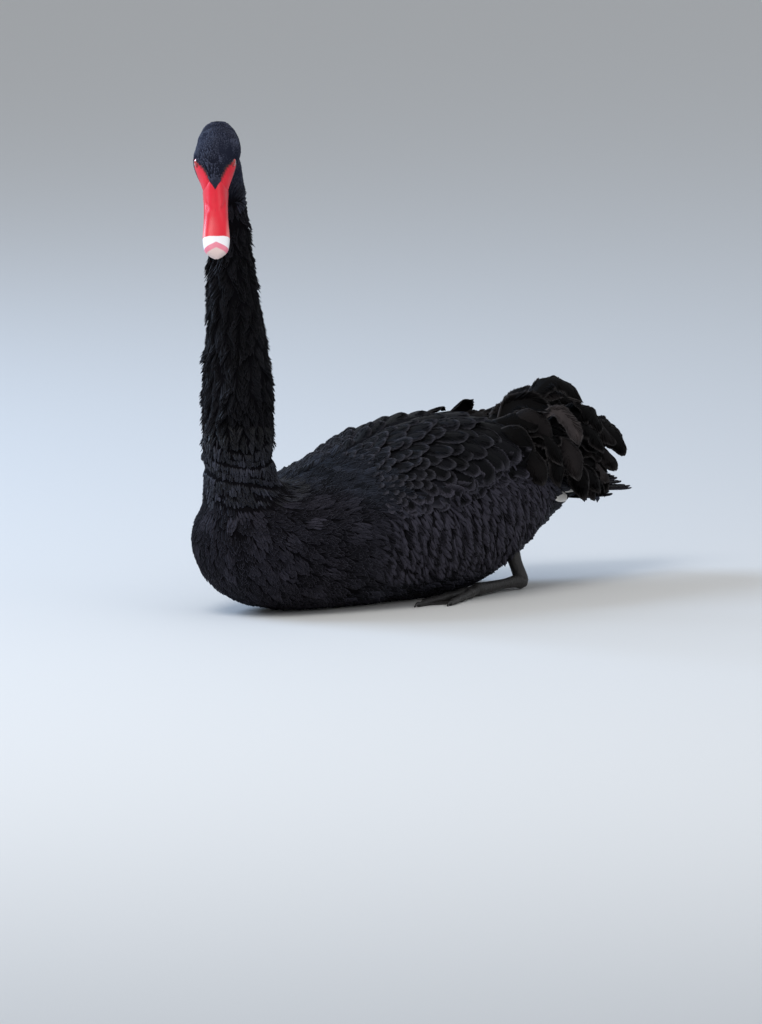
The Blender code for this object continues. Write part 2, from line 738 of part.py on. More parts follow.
def main():
    clear_scene()
    swan = new_collection("black_swan")
    torso = make_torso(swan)
    head, head_room, bill_upper, bill_lower, eyes = make_head_pieces(swan)
    neck = make_neck(torso, head_room, swan)
    tail = make_tail(swan)
    wings = [make_wing("wing_left", 1, torso, tail, swan), make_wing("wing_right", -1, torso, tail, swan)]
    feet = [make_foot("foot_left", 1, torso, swan), make_foot("foot_right", -1, torso, swan)]
    finish([torso, head, tail, *neck, *wings], new_material("plumage", PLUMAGE, 0.6))
    finish([bill_upper, bill_lower], new_material("bill", BILL_RED, 0.4))
    finish(eyes, new_material("eye", EYE_RED, 0.1))
    finish(feet, new_material("foot", FOOT_GREY, 0.6))


main()
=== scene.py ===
"""The looks of a life-size black swan: skin, feathers, bill, eyes and feet round the fixed frame.

Lengths are in millimetres, measured back from the neck's axis as in the part's own tables, and are
turned into metres from the belly's origin when a mesh is made."""

import math

import bmesh
import bpy
import numpy as np
from mathutils import Matrix, Vector
from mathutils.bvhtree import BVHTree
from mathutils.kdtree import KDTree


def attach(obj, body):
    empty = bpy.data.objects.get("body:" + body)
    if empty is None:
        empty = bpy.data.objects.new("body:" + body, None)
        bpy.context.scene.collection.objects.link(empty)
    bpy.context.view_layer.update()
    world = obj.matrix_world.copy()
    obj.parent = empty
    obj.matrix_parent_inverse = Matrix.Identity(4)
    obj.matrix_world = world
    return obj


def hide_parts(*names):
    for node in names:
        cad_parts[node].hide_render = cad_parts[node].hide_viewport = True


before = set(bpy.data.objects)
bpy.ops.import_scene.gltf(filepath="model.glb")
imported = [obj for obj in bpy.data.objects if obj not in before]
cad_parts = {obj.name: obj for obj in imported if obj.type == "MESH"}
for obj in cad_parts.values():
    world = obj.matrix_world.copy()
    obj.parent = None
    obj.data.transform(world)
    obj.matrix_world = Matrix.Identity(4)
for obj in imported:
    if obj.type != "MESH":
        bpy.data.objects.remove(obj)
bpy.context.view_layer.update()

# Places shared with the solids.
ORIGIN_BACK = 170.0
HEAD_YAW = 50.0
HEAD_PITCH = 53.0
EYE_MIDPOINT = (18.4, -40.3, 502.0)
EYE_RADIUS = 6.5
EYE_SIDE = 16.6
EYE_FORWARD = 1.0
EYE_HEIGHT = 3.0

# Side outline and plan of the trunk: place, top, bottom, half width and height of the widest line.
TRUNK = (
    (-53, 97, 84, 6, 90),
    (-49, 113, 62, 27, 88),
    (-36, 129, 38, 48, 87),
    (-8, 141, 14, 70, 88),
    (35, 144, 0, 90, 91),
    (90, 151, -5, 106, 95),
    (150, 165, -6, 115, 99),
    (220, 181, -6, 117, 102),
    (290, 184, -2, 108, 106),
    (350, 172, 22, 90, 109),
    (400, 154, 51, 67, 109),
    (437, 136, 74, 47, 107),
    (450, 126, 84, 34, 105),
)
TRUNK_ROUND_UP = 2.0
TRUNK_ROUND_DOWN = 2.35

# The neck's own line: x, y, z and radius.
NECK = (
    (0, 9, 84, 50),
    (-1, 4, 130, 48),
    (-1, -1, 175, 43.5),
    (-0.5, -0.5, 215, 42),
    (0, 0, 262, 41),
    (-0.5, -0.5, 300, 37),
    (-1.5, -2, 345, 32),
    (-3, -4, 395, 26.5),
    (-4.5, -6, 440, 24.5),
    (-4, -11, 475, 24),
    (2.5, -20, 500, 23),
    (8, -26, 506, 18),
)

# The feathered head along its own axis: place, middle height, half height and half width.
HEAD = (
    (-50, 1, 4, 4),
    (-47, 1, 12, 11.5),
    (-38, 0.5, 20.5, 19.5),
    (-25, -1, 25.5, 24.5),
    (-9, -2.5, 27, 26.5),
    (6, -5, 25, 23.5),
    (19, -8, 21.5, 18),
    (31, -10.5, 17.5, 14),
    (36, -11, 12, 9),
)

# The bill: place, height of the top, of the mouth's line and of the underside, and half width.
BILL = (
    (14, 7, -20, -28, 13),
    (27, 8.5, -20, -29.5, 14),
    (45, 0.5, -19.5, -28.5, 13.2),
    (65, -7, -20, -27.5, 13.6),
    (84, -11, -20.5, -26.5, 14.8),
    (97, -13.5, -21, -26, 13.7),
    (103, -15.2, -21.6, -25.7, 11.4),
    (107, -17.4, -22.2, -25.3, 6.8),
    (109.8, -20.6, -22.9, -24.4, 1.8),
)
# How square the upper bill's section is, at places along it, and the lower bill's.
BILL_POWER = ((20.0, 2.0), (60.0, 2.3), (90.0, 2.6))
LOWER_BILL_POWER = 2.5
LOWER_BILL_SHARE = 0.88
BILL_SIDES, BILL_STEPS = 96, 14
NOSTRIL_PLACE = (52.0, -6.5)
NOSTRIL_REACH = (6.0, 1.9)
NOSTRIL_DEPTH = 1.3

# The folded wing's bulk over the trunk: place, angle of its lower edge from the top, thickness.
WING = (
    (70, 40, 2.5),
    (100, 66, 3.5),
    (135, 74, 5.5),
    (170, 76, 9.5),
    (200, 76, 14),
    (240, 74, 17),
    (285, 66, 19),
    (320, 58, 20),
    (365, 57, 21),
    (410, 62, 19),
    (452, 74, 14),
)

# The tail's bulk behind the trunk: place, top, bottom and half width.
TAIL = (
    (430, 134, 80, 36),
    (450.4, 125, 85, 33),
    (470, 121, 88, 35),
    (492, 113, 93, 31),
    (506, 106, 97, 24),
)

# How far the skin lies inside the solids, which reach to the coat's outside.
TRUNK_COAT = 4.6
WING_COAT = 5.0
NECK_COAT = ((120.0, 5.0), (300.0, 5.0), (430.0, 3.4), (480.0, 1.6), (520.0, 1.6))
HEAD_COAT = 1.2
TAIL_COAT = 5.0
WING_DEPTH = 22.0
CROWN_SHIFT = 4.0
SKIN_FLOOR = 1.5
SKIN_SIDES, HEAD_SIDES = 64, 48
SKIN_VOXEL = 0.0025
CREASE_STEP, CREASE_DEPTH = 20.0, 4.2

# The camera of the photo: its size on the subject, direction, roll and distance.
PHOTO_SIZE = (762, 1024)
METRES_PER_PIXEL = 0.0011
CAMERA_AZIMUTH = 50.0
CAMERA_ELEVATION = 6.5
CAMERA_ROLL = 1.15
CAMERA_DISTANCE = 12.0
WATERLINE = 85.0
NECK_FOOT_PIXEL = (241.0, 537.5)

# The lamps, in metres: name, place, size, power and colour; and the place that all look at.
LIGHTS = (
    ("key", (0.5, -1.7, 2.6), (1.4, 1.4), 40.0, (1.0, 0.98, 0.95)),
    ("fill", (2.6, 0.0, 1.4), (1.6, 1.2), 9.0, (1.0, 0.97, 0.94)),
    ("sky", (-3.6, -1.7, 2.6), (2.5, 2.5), 220.0, (0.54, 0.72, 1.0)),
)
LIGHTS_AIM = (0.0, 0.05, 0.2)
FLOOR_REACH = 60000.0
FLOOR_DROP = 0.0002


def metres(points):
    """Points in millimetres back from the neck's axis as metres from the origin."""
    return (np.asarray(points, float) - (0.0, ORIGIN_BACK, 0.0)) * 0.001


def smoothstep(low, high, value):
    """From 0 at one value to 1 at another, on a soft curve."""
    share = np.clip((np.asarray(value, float) - low) / (high - low), 0.0, 1.0)
    return share * share * (3.0 - 2.0 * share)


def unit(vectors):
    vectors = np.asarray(vectors, float)
    return vectors / np.maximum(np.linalg.norm(vectors, axis=-1, keepdims=True), 1e-9)


def smooth_rows(rows, steps):
    """The table's rows with more between them, on one smooth curve through them all."""
    table = np.array(rows, float)
    ends = np.vstack([2 * table[0] - table[1], table, 2 * table[-1] - table[-2]])
    found = []
    for i in range(len(table) - 1):
        a, b, c, d = ends[i : i + 4]
        for t in np.linspace(0.0, 1.0, steps, endpoint=False):
            square = (2 * a - 5 * b + 4 * c - d) * t**2
            cube = (3 * b - a - 3 * c + d) * t**3
            found.append(0.5 * (2 * b + (c - a) * t + square + cube))
    found.append(table[-1])
    return np.array(found)


def rounded(value, power):
    """A sine or cosine on a squarer or softer oval."""
    return np.sign(value) * np.abs(value) ** (2.0 / power)


def column(table, place, index):
    """One of a table's columns at places given by its first."""
    return np.interp(place, table[:, 0], table[:, index])


TRUNK_CURVE = smooth_rows(TRUNK, 12)
WING_CURVE = np.array(WING)


def trunk_points(back, angle):
    """Points on the trunk at angles down from its top line, positive to the left."""
    back, angle = np.broadcast_arrays(np.asarray(back, float), np.asarray(angle, float))
    top, bottom, wide, middle = (column(TRUNK_CURVE, back, k) for k in range(1, 5))
    across, up = np.sin(angle), np.cos(angle)
    power = np.where(up > 0, TRUNK_ROUND_UP, TRUNK_ROUND_DOWN)
    rise = np.where(up > 0, top - middle, middle - bottom)
    z = middle + rise * rounded(up, power)
    return np.stack([wide * rounded(across, power), back, z], -1)


def trunk_normals(back, angle):
    """The ways straight out of the trunk at the same points."""
    along = trunk_points(np.asarray(back) + 2.0, angle) - trunk_points(np.asarray(back) - 2.0, angle)
    around = trunk_points(back, np.asarray(angle) + 0.03) - trunk_points(back, np.asarray(angle) - 0.03)
    return -unit(np.cross(along, around))


def wing_points(back, share):
    """Points on the left wing's outer surface, from its top line at 0 to its lower edge at 1."""
    back, share = np.broadcast_arrays(np.asarray(back, float), np.asarray(share, float))
    angle = np.radians(column(WING_CURVE, back, 1)) * share
    deep = column(WING_CURVE, back, 2) * (1.0 - 0.62 * np.clip(share, 0.0, 1.0) ** 2.2)
    return trunk_points(back, angle) + trunk_normals(back, angle) * deep[..., None]


def wing_axes(back, share):
    """The wing's surface: points, outward normals, and the ways back and down."""
    along = unit(wing_points(back + 3.0, share) - wing_points(back - 3.0, share))
    down = unit(wing_points(back, share + 0.02) - wing_points(back, share - 0.02))
    return wing_points(back, share), unit(np.cross(down, along)), along, down


def head_axes():
    """The head's forward, left and crown directions."""
    yaw, pitch = math.radians(HEAD_YAW), math.radians(HEAD_PITCH)
    facing = np.array((math.sin(yaw), -math.cos(yaw), 0.0))
    up = np.array((0.0, 0.0, 1.0))
    forward = facing * math.cos(pitch) - up * math.sin(pitch)
    crown = facing * math.sin(pitch) + up * math.cos(pitch)
    return forward, np.cross(crown, forward), crown


HEAD_AXES = np.array(head_axes())


def from_head(local):
    return np.asarray(local, float) @ HEAD_AXES + EYE_MIDPOINT


def to_head(points):
    return (np.asarray(points, float) - EYE_MIDPOINT) @ HEAD_AXES.T


def ripple(points, scale, seed):
    """A smooth, seeded unevenness from -1 to 1 over space, one value for each point."""
    draw = np.random.default_rng(seed)
    value = np.zeros(len(points))
    for _ in range(7):
        wave = draw.normal(size=3) / scale
        value += np.sin(np.asarray(points) @ wave + draw.uniform(0.0, 6.28))
    return np.clip(value / 3.2, -1.0, 1.0)


# Making meshes


def new_object(name, points, faces, material):
    """An object from points in millimetres and an array of triangles or quads."""
    faces = np.asarray(faces, np.int32)
    mesh = bpy.data.meshes.new(name)
    mesh.vertices.add(len(points))
    mesh.vertices.foreach_set("co", metres(points).astype(np.float32).ravel())
    mesh.loops.add(faces.size)
    mesh.loops.foreach_set("vertex_index", faces.ravel())
    mesh.polygons.add(len(faces))
    sides = faces.shape[1]
    mesh.polygons.foreach_set("loop_start", np.arange(0, faces.size, sides, dtype=np.int32))
    mesh.polygons.foreach_set("loop_total", np.full(len(faces), sides, np.int32))
    mesh.update(calc_edges=True)
    mesh.validate()
    mesh.shade_smooth()
    made = bpy.data.objects.new(name, mesh)
    bpy.context.scene.collection.objects.link(made)
    if material:
        mesh.materials.append(material)
    return made


def paint(piece, name, values):
    """One number for each point of a piece, for its material to read."""
    made = piece.data.attributes.new(name, "FLOAT", "POINT")
    made.data.foreach_set("value", np.asarray(values, np.float32))


def add_uv(piece, name, coordinates):
    """A UV map from a coordinate pair for each point."""
    mesh = piece.data
    corners = np.empty(len(mesh.loops), np.int32)
    mesh.loops.foreach_get("vertex_index", corners)
    layer = mesh.uv_layers.new(name=name)
    layer.data.foreach_set("uv", np.asarray(coordinates, np.float32)[corners].ravel())


def vertex_values(mesh, name):
    """Three numbers for each of a mesh's points, as an array."""
    values = np.empty(len(mesh.vertices) * 3)
    mesh.vertices.foreach_get(name, values)
    return values.reshape(-1, 3)


def vertex_places(mesh):
    """A mesh's points in millimetres, back from the neck's axis."""
    return vertex_values(mesh, "co") * 1000.0 + (0.0, ORIGIN_BACK, 0.0)


def joined(name, pieces):
    """Several objects as one, under the first one's data."""
    first = pieces[0]
    with bpy.context.temp_override(active_object=first, selected_editable_objects=pieces,
                                   selected_objects=pieces):
        bpy.ops.object.join()
    first.name = name
    return first


def ring_faces(rows, sides):
    """Quads between closed rings of like points, row after row."""
    faces = []
    for i in range(rows - 1):
        for j in range(sides):
            k = (j + 1) % sides
            faces.append((i * sides + j, i * sides + k, (i + 1) * sides + k, (i + 1) * sides + j))
    return faces


def loft(name, rings, material):
    """A closed mesh through rings, with each end gathered to its middle point."""
    rings = np.asarray(rings, float)
    rows, sides = rings.shape[:2]
    points = np.vstack([rings.reshape(-1, 3), rings[0].mean(0), rings[-1].mean(0)])
    piece = new_object(name, points[:-2], ring_faces(rows, sides), material)
    mesh = bmesh.new()
    mesh.from_mesh(piece.data)
    corners = list(mesh.verts)
    for start, centre in ((0, points[-2]), (rows * sides - sides, points[-1])):
        hub = mesh.verts.new(Vector(metres(centre)))
        for j in range(sides):
            mesh.faces.new((corners[start + j], corners[start + (j + 1) % sides], hub))
    bmesh.ops.recalc_face_normals(mesh, faces=mesh.faces)
    mesh.to_mesh(piece.data)
    mesh.free()
    piece.data.shade_smooth()
    return piece


# Materials


def new_material(name, **values):
    made = bpy.data.materials.new(name)
    made.use_nodes = True
    shader = made.node_tree.nodes["Principled BSDF"]
    for key, value in values.items():
        label = key.replace("_", " ").title().replace("Ior", "IOR")
        if isinstance(value, tuple):
            value = (*value, 1.0)
        shader.inputs[label].default_value = value
    return made


def node(material, kind, **settings):
    made = material.node_tree.nodes.new(kind)
    for key, value in settings.items():
        if key.startswith("in_"):
            name = key[3:]
            made.inputs[int(name) if name.isdigit() else name.replace("_", " ")].default_value = value
        else:
            setattr(made, key, value)
    return made


def wire(material, source, target):
    material.node_tree.links.new(source, target)


def maths(material, operation, *inputs, clamp=False):
    """A math node on sockets or numbers, giving its output."""
    made = node(material, "ShaderNodeMath", operation=operation, use_clamp=clamp)
    for socket, value in zip(made.inputs, inputs):
        if isinstance(value, (int, float)):
            socket.default_value = value
        else:
            wire(material, value, socket)
    return made.outputs[0]


def times(material, first, second, clamp=False):
    return maths(material, "MULTIPLY", first, second, clamp=clamp)


def beyond(material, value, start, slope):
    """From 0 to 1 as a value passes a start."""
    return times(material, maths(material, "SUBTRACT", value, start), slope, clamp=True)


def mixed(material, factor, first, second):
    """A colour mix of two colours or sockets."""
    made = node(material, "ShaderNodeMix", data_type="RGBA")
    wire(material, factor, made.inputs["Factor"])
    for socket, value in ((made.inputs[6], first), (made.inputs[7], second)):
        if isinstance(value, tuple):
            socket.default_value = (*value, 1.0)
        else:
            wire(material, value, socket)
    return made.outputs[2]


def attribute(material, name):
    return node(material, "ShaderNodeAttribute", attribute_name=name).outputs["Fac"]


def noise(material, scale):
    place = node(material, "ShaderNodeTexCoord")
    made = node(material, "ShaderNodeTexNoise", in_Scale=scale, in_Detail=3.0, in_Roughness=0.55)
    wire(material, place.outputs["Object"], made.inputs["Vector"])
    return made.outputs["Fac"]


def bump(material, height, strength, distance):
    made = node(material, "ShaderNodeBump", in_Strength=strength, in_Distance=distance)
    wire(material, height, made.inputs["Height"])
    wire(material, made.outputs["Normal"], material.node_tree.nodes["Principled BSDF"].inputs["Normal"])


def base_colour(material, colour):
    wire(material, colour, material.node_tree.nodes["Principled BSDF"].inputs["Base Color"])


def feather_material(name, cool, warm, margin_width, roughness, gloss, barb_strength):
    """Plumage: a dark vane with a paler margin, fine barbs off a shaft, and each feather's own tint; on small
    feathers the tint also paints lit clumps and the shade between them.

    The cool and warm sets are dark, lighter and margin colours, mixed by place on the body; some sets carry
    painted sheen."""
    made = new_material(name, roughness=roughness, specular_ior_level=gloss)
    layout = node(made, "ShaderNodeUVMap", uv_map="Vane")
    split = node(made, "ShaderNodeSeparateXYZ")
    wire(made, layout.outputs[0], split.inputs[0])
    along, across = split.outputs[0], split.outputs[1]
    from_shaft = maths(made, "ABSOLUTE", across)
    slant = maths(made, "SUBTRACT", along, times(made, from_shaft, 0.9))
    barbs = maths(made, "SINE", times(made, slant, 620.0))
    shaft = maths(made, "SUBTRACT", 1.0, times(made, from_shaft, 110.0), clamp=True)
    height = maths(made, "ADD", times(made, barbs, 0.3), times(made, shaft, 1.4))
    bump(made, height, barb_strength, 0.0004)
    from_rim = maths(made, "DIVIDE", attribute(made, "rim"), margin_width)
    edge = maths(made, "SUBTRACT", 1.0, from_rim, clamp=True)
    uneven = maths(made, "ADD", noise(made, 40.0), 0.5)
    worn = times(made, edge, times(made, edge, uneven), clamp=True)
    # Tint mixes dark towards the lighter colour; on small feathers it carries the painted light and shade of
    # their clumps.
    tint = attribute(made, "tint")
    cloudy = times(made, noise(made, 24.0), tint)
    cloudy = times(made, cloudy, maths(made, "ADD", tint, 0.4), clamp=True)
    place = attribute(made, "warm")
    dark, middle, margin = (mixed(made, place, first, second) for first, second in zip(cool, warm))
    base_colour(made, mixed(made, worn, mixed(made, cloudy, dark, middle), margin))
    return made


# The camera, floor and lights


def make_camera():
    azimuth, elevation = math.radians(CAMERA_AZIMUTH), math.radians(CAMERA_ELEVATION)
    roll = math.radians(CAMERA_ROLL)
    flat = Vector((math.sin(azimuth), -math.cos(azimuth), 0.0))
    back = flat * math.cos(elevation) + Vector((0.0, 0.0, math.sin(elevation)))
    level = Vector((math.cos(azimuth), math.sin(azimuth), 0.0))
    upright = back.cross(level)
    right = level * math.cos(roll) - upright * math.sin(roll)
    up = upright * math.cos(roll) + level * math.sin(roll)
    wide, high = PHOTO_SIZE
    across = (NECK_FOOT_PIXEL[0] - wide / 2) * METRES_PER_PIXEL
    above = (high / 2 - NECK_FOOT_PIXEL[1]) * METRES_PER_PIXEL
    aim = Vector(metres((0.0, 0.0, WATERLINE))) - right * across - up * above
    data = bpy.data.cameras.new("camera")
    data.sensor_fit = "VERTICAL"
    data.sensor_height = 36.0
    data.lens = data.sensor_height * CAMERA_DISTANCE / (high * METRES_PER_PIXEL)
    data.clip_end = 200.0
    camera = bpy.data.objects.new("camera", data)
    bpy.context.scene.collection.objects.link(camera)
    place = Matrix((right, up, back)).transposed().to_4x4()
    place.translation = aim + back * CAMERA_DISTANCE
    camera.matrix_world = place
    bpy.context.scene.camera = camera


def area_light(name, place, size, power, colour):
    data = bpy.data.lights.new(name, "AREA")
    data.shape = "RECTANGLE"
    data.size, data.size_y = size
    data.energy = power
    data.color = colour
    light = bpy.data.objects.new(name, data)
    bpy.context.scene.collection.objects.link(light)
    light.location = place
    light.rotation_euler = (Vector(LIGHTS_AIM) - Vector(place)).to_track_quat("-Z", "Y").to_euler()


def make_stage():
    made = new_material("floor", base_color=(0.62, 0.62, 0.61), roughness=0.8)
    corners = [(x * FLOOR_REACH, y * FLOOR_REACH, 0.0) for x, y in ((-1, -1), (1, -1), (1, 1), (-1, 1))]
    floor = new_object("floor", corners, [(0, 1, 2, 3)], made)
    floor.location.z = -FLOOR_DROP
    world = bpy.data.worlds.new("studio")
    world.use_nodes = True
    sky = world.node_tree.nodes["Background"]
    sky.inputs["Color"].default_value = (0.90, 0.94, 1.0, 1.0)
    sky.inputs["Strength"].default_value = 0.58
    bpy.context.scene.world = world
    for light in LIGHTS:
        area_light(*light)
    bpy.context.scene.view_settings.view_transform = "Standard"


# The skin


def tube_rings(rows, sides, insets):
    """Rings round a line of places and radii, each drawn in by its inset."""
    centres = rows[:, :3]
    ahead = unit(np.gradient(centres, axis=0))
    side = np.array((1.0, 0.0, 0.0))
    turns = np.linspace(0.0, 2 * math.pi, sides, endpoint=False)
    rings = []
    for centre, along, radius, inset in zip(centres, ahead, rows[:, 3], insets):
        side = unit(side - along * side.dot(along))
        other = np.cross(along, side)
        reach = max(radius - inset, 1.0)
        rings.append(centre + (np.outer(np.cos(turns), side) + np.outer(np.sin(turns), other)) * reach)
    return np.array(rings)


def make_skin(material):
    """One closed skin over trunk, wings' bulk, neck, head and tail's root, smoothed where they join."""
    parts = []
    turns = np.linspace(0.0, 2 * math.pi, SKIN_SIDES, endpoint=False)
    backs = TRUNK_CURVE[3::4, 0]
    rings = trunk_points(backs[:, None], turns[None, :])
    rings = rings - trunk_normals(backs[:, None], turns[None, :]) * TRUNK_COAT
    rings[..., 2] = np.maximum(rings[..., 2], SKIN_FLOOR)
    parts.append(loft("trunk", rings, None))
    line = smooth_rows(NECK, 6)
    insets = np.interp(line[:, 2], *np.array(NECK_COAT).T)
    parts.append(loft("neck", tube_rings(line, 40, insets), None))
    rings = []
    head_turns = turns[:HEAD_SIDES] * SKIN_SIDES / HEAD_SIDES
    for forward, middle, high, wide in smooth_rows(HEAD, 6):
        offset = CROWN_SHIFT * float(smoothstep(3.0, -22.0, forward))
        aside = offset + np.maximum(wide - HEAD_COAT, 1.0) * np.sin(head_turns)
        height = middle + np.maximum(high - HEAD_COAT, 1.0) * np.cos(head_turns)
        rings.append(from_head(np.stack([np.full(HEAD_SIDES, forward), aside, height], -1)))
    parts.append(loft("head", rings, None))
    rings = []
    for back, top, bottom, wide in smooth_rows(TAIL, 4):
        middle, high = (top + bottom) / 2, (top - bottom) / 2 - TAIL_COAT
        ring = [(wide - TAIL_COAT) * np.sin(turns), np.full(SKIN_SIDES, back), middle + high * np.cos(turns)]
        rings.append(np.stack(ring, -1))
    parts.append(loft("tail", rings, None))
    for side in (1.0, -1.0):
        shares = np.linspace(0.0, 1.0, 20)
        backs = np.linspace(WING[0][0] + 6.0, WING[-1][0] - 8.0, 40)
        rings = []
        for back in backs:
            outer, normals, _, _ = wing_axes(np.full(len(shares), back), shares)
            angles = np.radians(column(WING_CURVE, back, 1)) * shares
            inner = trunk_points(back, angles) - trunk_normals(back, angles) * WING_DEPTH
            ring = np.vstack([outer - normals * WING_COAT, inner[::-1]])
            rings.append(ring * (side, 1.0, 1.0))
        parts.append(loft("wing", rings, None))
    skin = joined("skin", parts)
    remesh = skin.modifiers.new("remesh", "REMESH")
    remesh.mode = "VOXEL"
    remesh.voxel_size = SKIN_VOXEL
    soften = skin.modifiers.new("soften", "SMOOTH")
    soften.factor = 0.5
    soften.iterations = 8
    graph = bpy.context.evaluated_depsgraph_get()
    finished = bpy.data.meshes.new_from_object(skin.evaluated_get(graph))
    skin.modifiers.clear()
    skin.data = finished
    finished.materials.clear()
    finished.materials.append(material)
    finished.shade_smooth()
    settle_neck_foot(finished)
    return skin


def settle_neck_foot(mesh):
    """Rounds the corner where the neck meets the body, and folds creases into the neck's foot."""
    count = len(mesh.vertices)
    points = vertex_places(mesh)
    edges = np.empty(len(mesh.edges) * 2, np.int32)
    mesh.edges.foreach_get("vertices", edges)
    first, second = edges.reshape(-1, 2).T
    z, rho = points[:, 2], np.hypot(points[:, 0], points[:, 1])
    share = smoothstep(84.0, 108.0, z) * smoothstep(190.0, 150.0, z) * smoothstep(112.0, 88.0, rho)
    each = np.bincount(first, minlength=count) + np.bincount(second, minlength=count)
    for _ in range(90):
        for k in range(3):
            column_k = points[:, k]
            total = np.bincount(first, column_k[second], count) + np.bincount(second, column_k[first], count)
            points[:, k] += 0.6 * share * (total / each - column_k)
    z = points[:, 2]
    outward = unit(points * (1.0, 1.0, 0.0))
    fade = smoothstep(108.0, 128.0, z) * smoothstep(232.0, 196.0, z) * smoothstep(92.0, 70.0, rho)
    wave = np.sin(2 * math.pi * (z + 9.0 * ripple(points, 19.0, 31) + 0.22 * points[:, 0]) / CREASE_STEP)
    strength = np.clip(0.5 + 1.1 * ripple(points, 22.0, 32), 0.0, 1.0)
    depth = CREASE_DEPTH * fade * strength * smoothstep(0.45, 1.0, -wave)
    points -= outward * depth[:, None]
    mesh.vertices.foreach_set("co", metres(points).ravel())
    mesh.update()


def skin_arrays(skin):
    """The skin's points and normals in millimetres, and its triangles."""
    mesh = skin.data
    mesh.calc_loop_triangles()
    corners = np.empty(len(mesh.loop_triangles) * 3, np.int32)
    mesh.loop_triangles.foreach_get("vertices", corners)
    return vertex_places(mesh), vertex_values(mesh, "normal"), corners.reshape(-1, 3)


# Bare red skin from the bill to the eye, on each side of the forehead's point of feathers, in the
# head's frame: the forehead's point, its width at the eyes, and the lower edge's heights.
FOREHEAD_TIP = 37.0
FOREHEAD_TRIES = 1500
LORE_TOP = ((2.0, 15.5), (14.0, 13.0), (27.0, 6.5), (37.0, 0.0))
LORE_BOTTOM = ((2.0, -1.0), (10.0, -4.0), (20.0, -13.0), (29.0, -24.0), (40.0, -30.0))


def lore_mask(points):
    """Where the head is bare and red, from 0 to 1, by place in the head's frame."""
    local = to_head(points)
    forward, aside, height = local[:, 0], np.abs(local[:, 1]), local[:, 2]
    inner = np.interp(forward, [p[0] for p in LORE_TOP], [p[1] for p in LORE_TOP])
    low = np.interp(forward, [p[0] for p in LORE_BOTTOM], [p[1] for p in LORE_BOTTOM])
    high = np.interp(forward, (2.0, 12.0, 26.0, 40.0), (6.0, 9.0, 14.0, 20.0))
    mask = smoothstep(-1.0, 1.0, aside - inner)
    mask *= smoothstep(-1.0, 1.0, height - low) * smoothstep(-1.0, 1.0, high - height)
    mask *= smoothstep(2.0, 5.0, forward)
    return mask


# Small feathers

# By zone: spacing, length, width, lift and curl in degrees, how unruly they lie, the size of their
# clumps, how far each clump draws together, and how warm their colour is.
ZONES = {
    "face": (1.1, 4.4, 1.8, 2.0, 0.0, 0.15, 4.0, 0.05, 1.0),
    "crown": (1.2, 6.0, 2.2, 2.5, 0.0, 0.15, 5.0, 0.05, 1.0),
    "nape": (1.7, 9.0, 2.7, 7.0, 2.0, 0.5, 7.0, 0.4, 0.0),
    "neck": (1.95, 14.0, 2.9, 12.0, 4.0, 1.0, 11.0, 1.1, 0.0),
    "base": (1.8, 8.5, 2.8, 7.0, 0.0, 0.5, 7.0, 0.3, 0.9),
    "breast": (2.35, 12.0, 4.0, 6.0, 0.0, 0.4, 10.0, 0.35, 1.0),
    "belly": (3.2, 18.0, 6.4, 5.0, 0.0, 0.3, 12.0, 0.3, 0.7),
    "flank": (2.7, 18.0, 5.4, 5.0, 0.0, 0.5, 13.0, 0.4, 1.0),
    "mantle": (2.7, 15.0, 6.4, 6.0, 0.0, 0.5, 9.0, 0.3, 0.0),
    "rump": (4.0, 28.0, 9.0, 9.0, 2.0, 0.6, 12.0, 0.3, 0.3),
}
FLANK_BAR = 15.0
ZONE_ORDER = list(ZONES)
ZONE_TABLE = np.array([ZONES[zone] for zone in ZONE_ORDER])
SPACING, UNRULY, WARM = 0, 5, 8

# How far down the wing's side its own feathers show, at places along the body.
WING_EDGE = ((84.0, 1.0), (150.0, 0.95), (220.0, 0.86), (320.0, 0.82), (400.0, 0.86), (452.0, 0.95))


def wing_edge(back):
    """The share of the way down the wing's side that its own feathers reach."""
    return np.interp(back, *np.array(WING_EDGE).T)


def wing_edge_height(points):
    """The height of the wing's lower edge at each point's place along the body."""
    back = np.clip(points[:, 1], 72.0, 450.0)
    return wing_points(back, wing_edge(back))[:, 2]


def warmth(points):
    """How warm the plumage's colour is at each point, from 0 to 1."""
    soft = 0.35 * smoothstep(400.0, 462.0, points[:, 2])
    return np.maximum(zone_shares(points) @ ZONE_TABLE[:, WARM], soft)


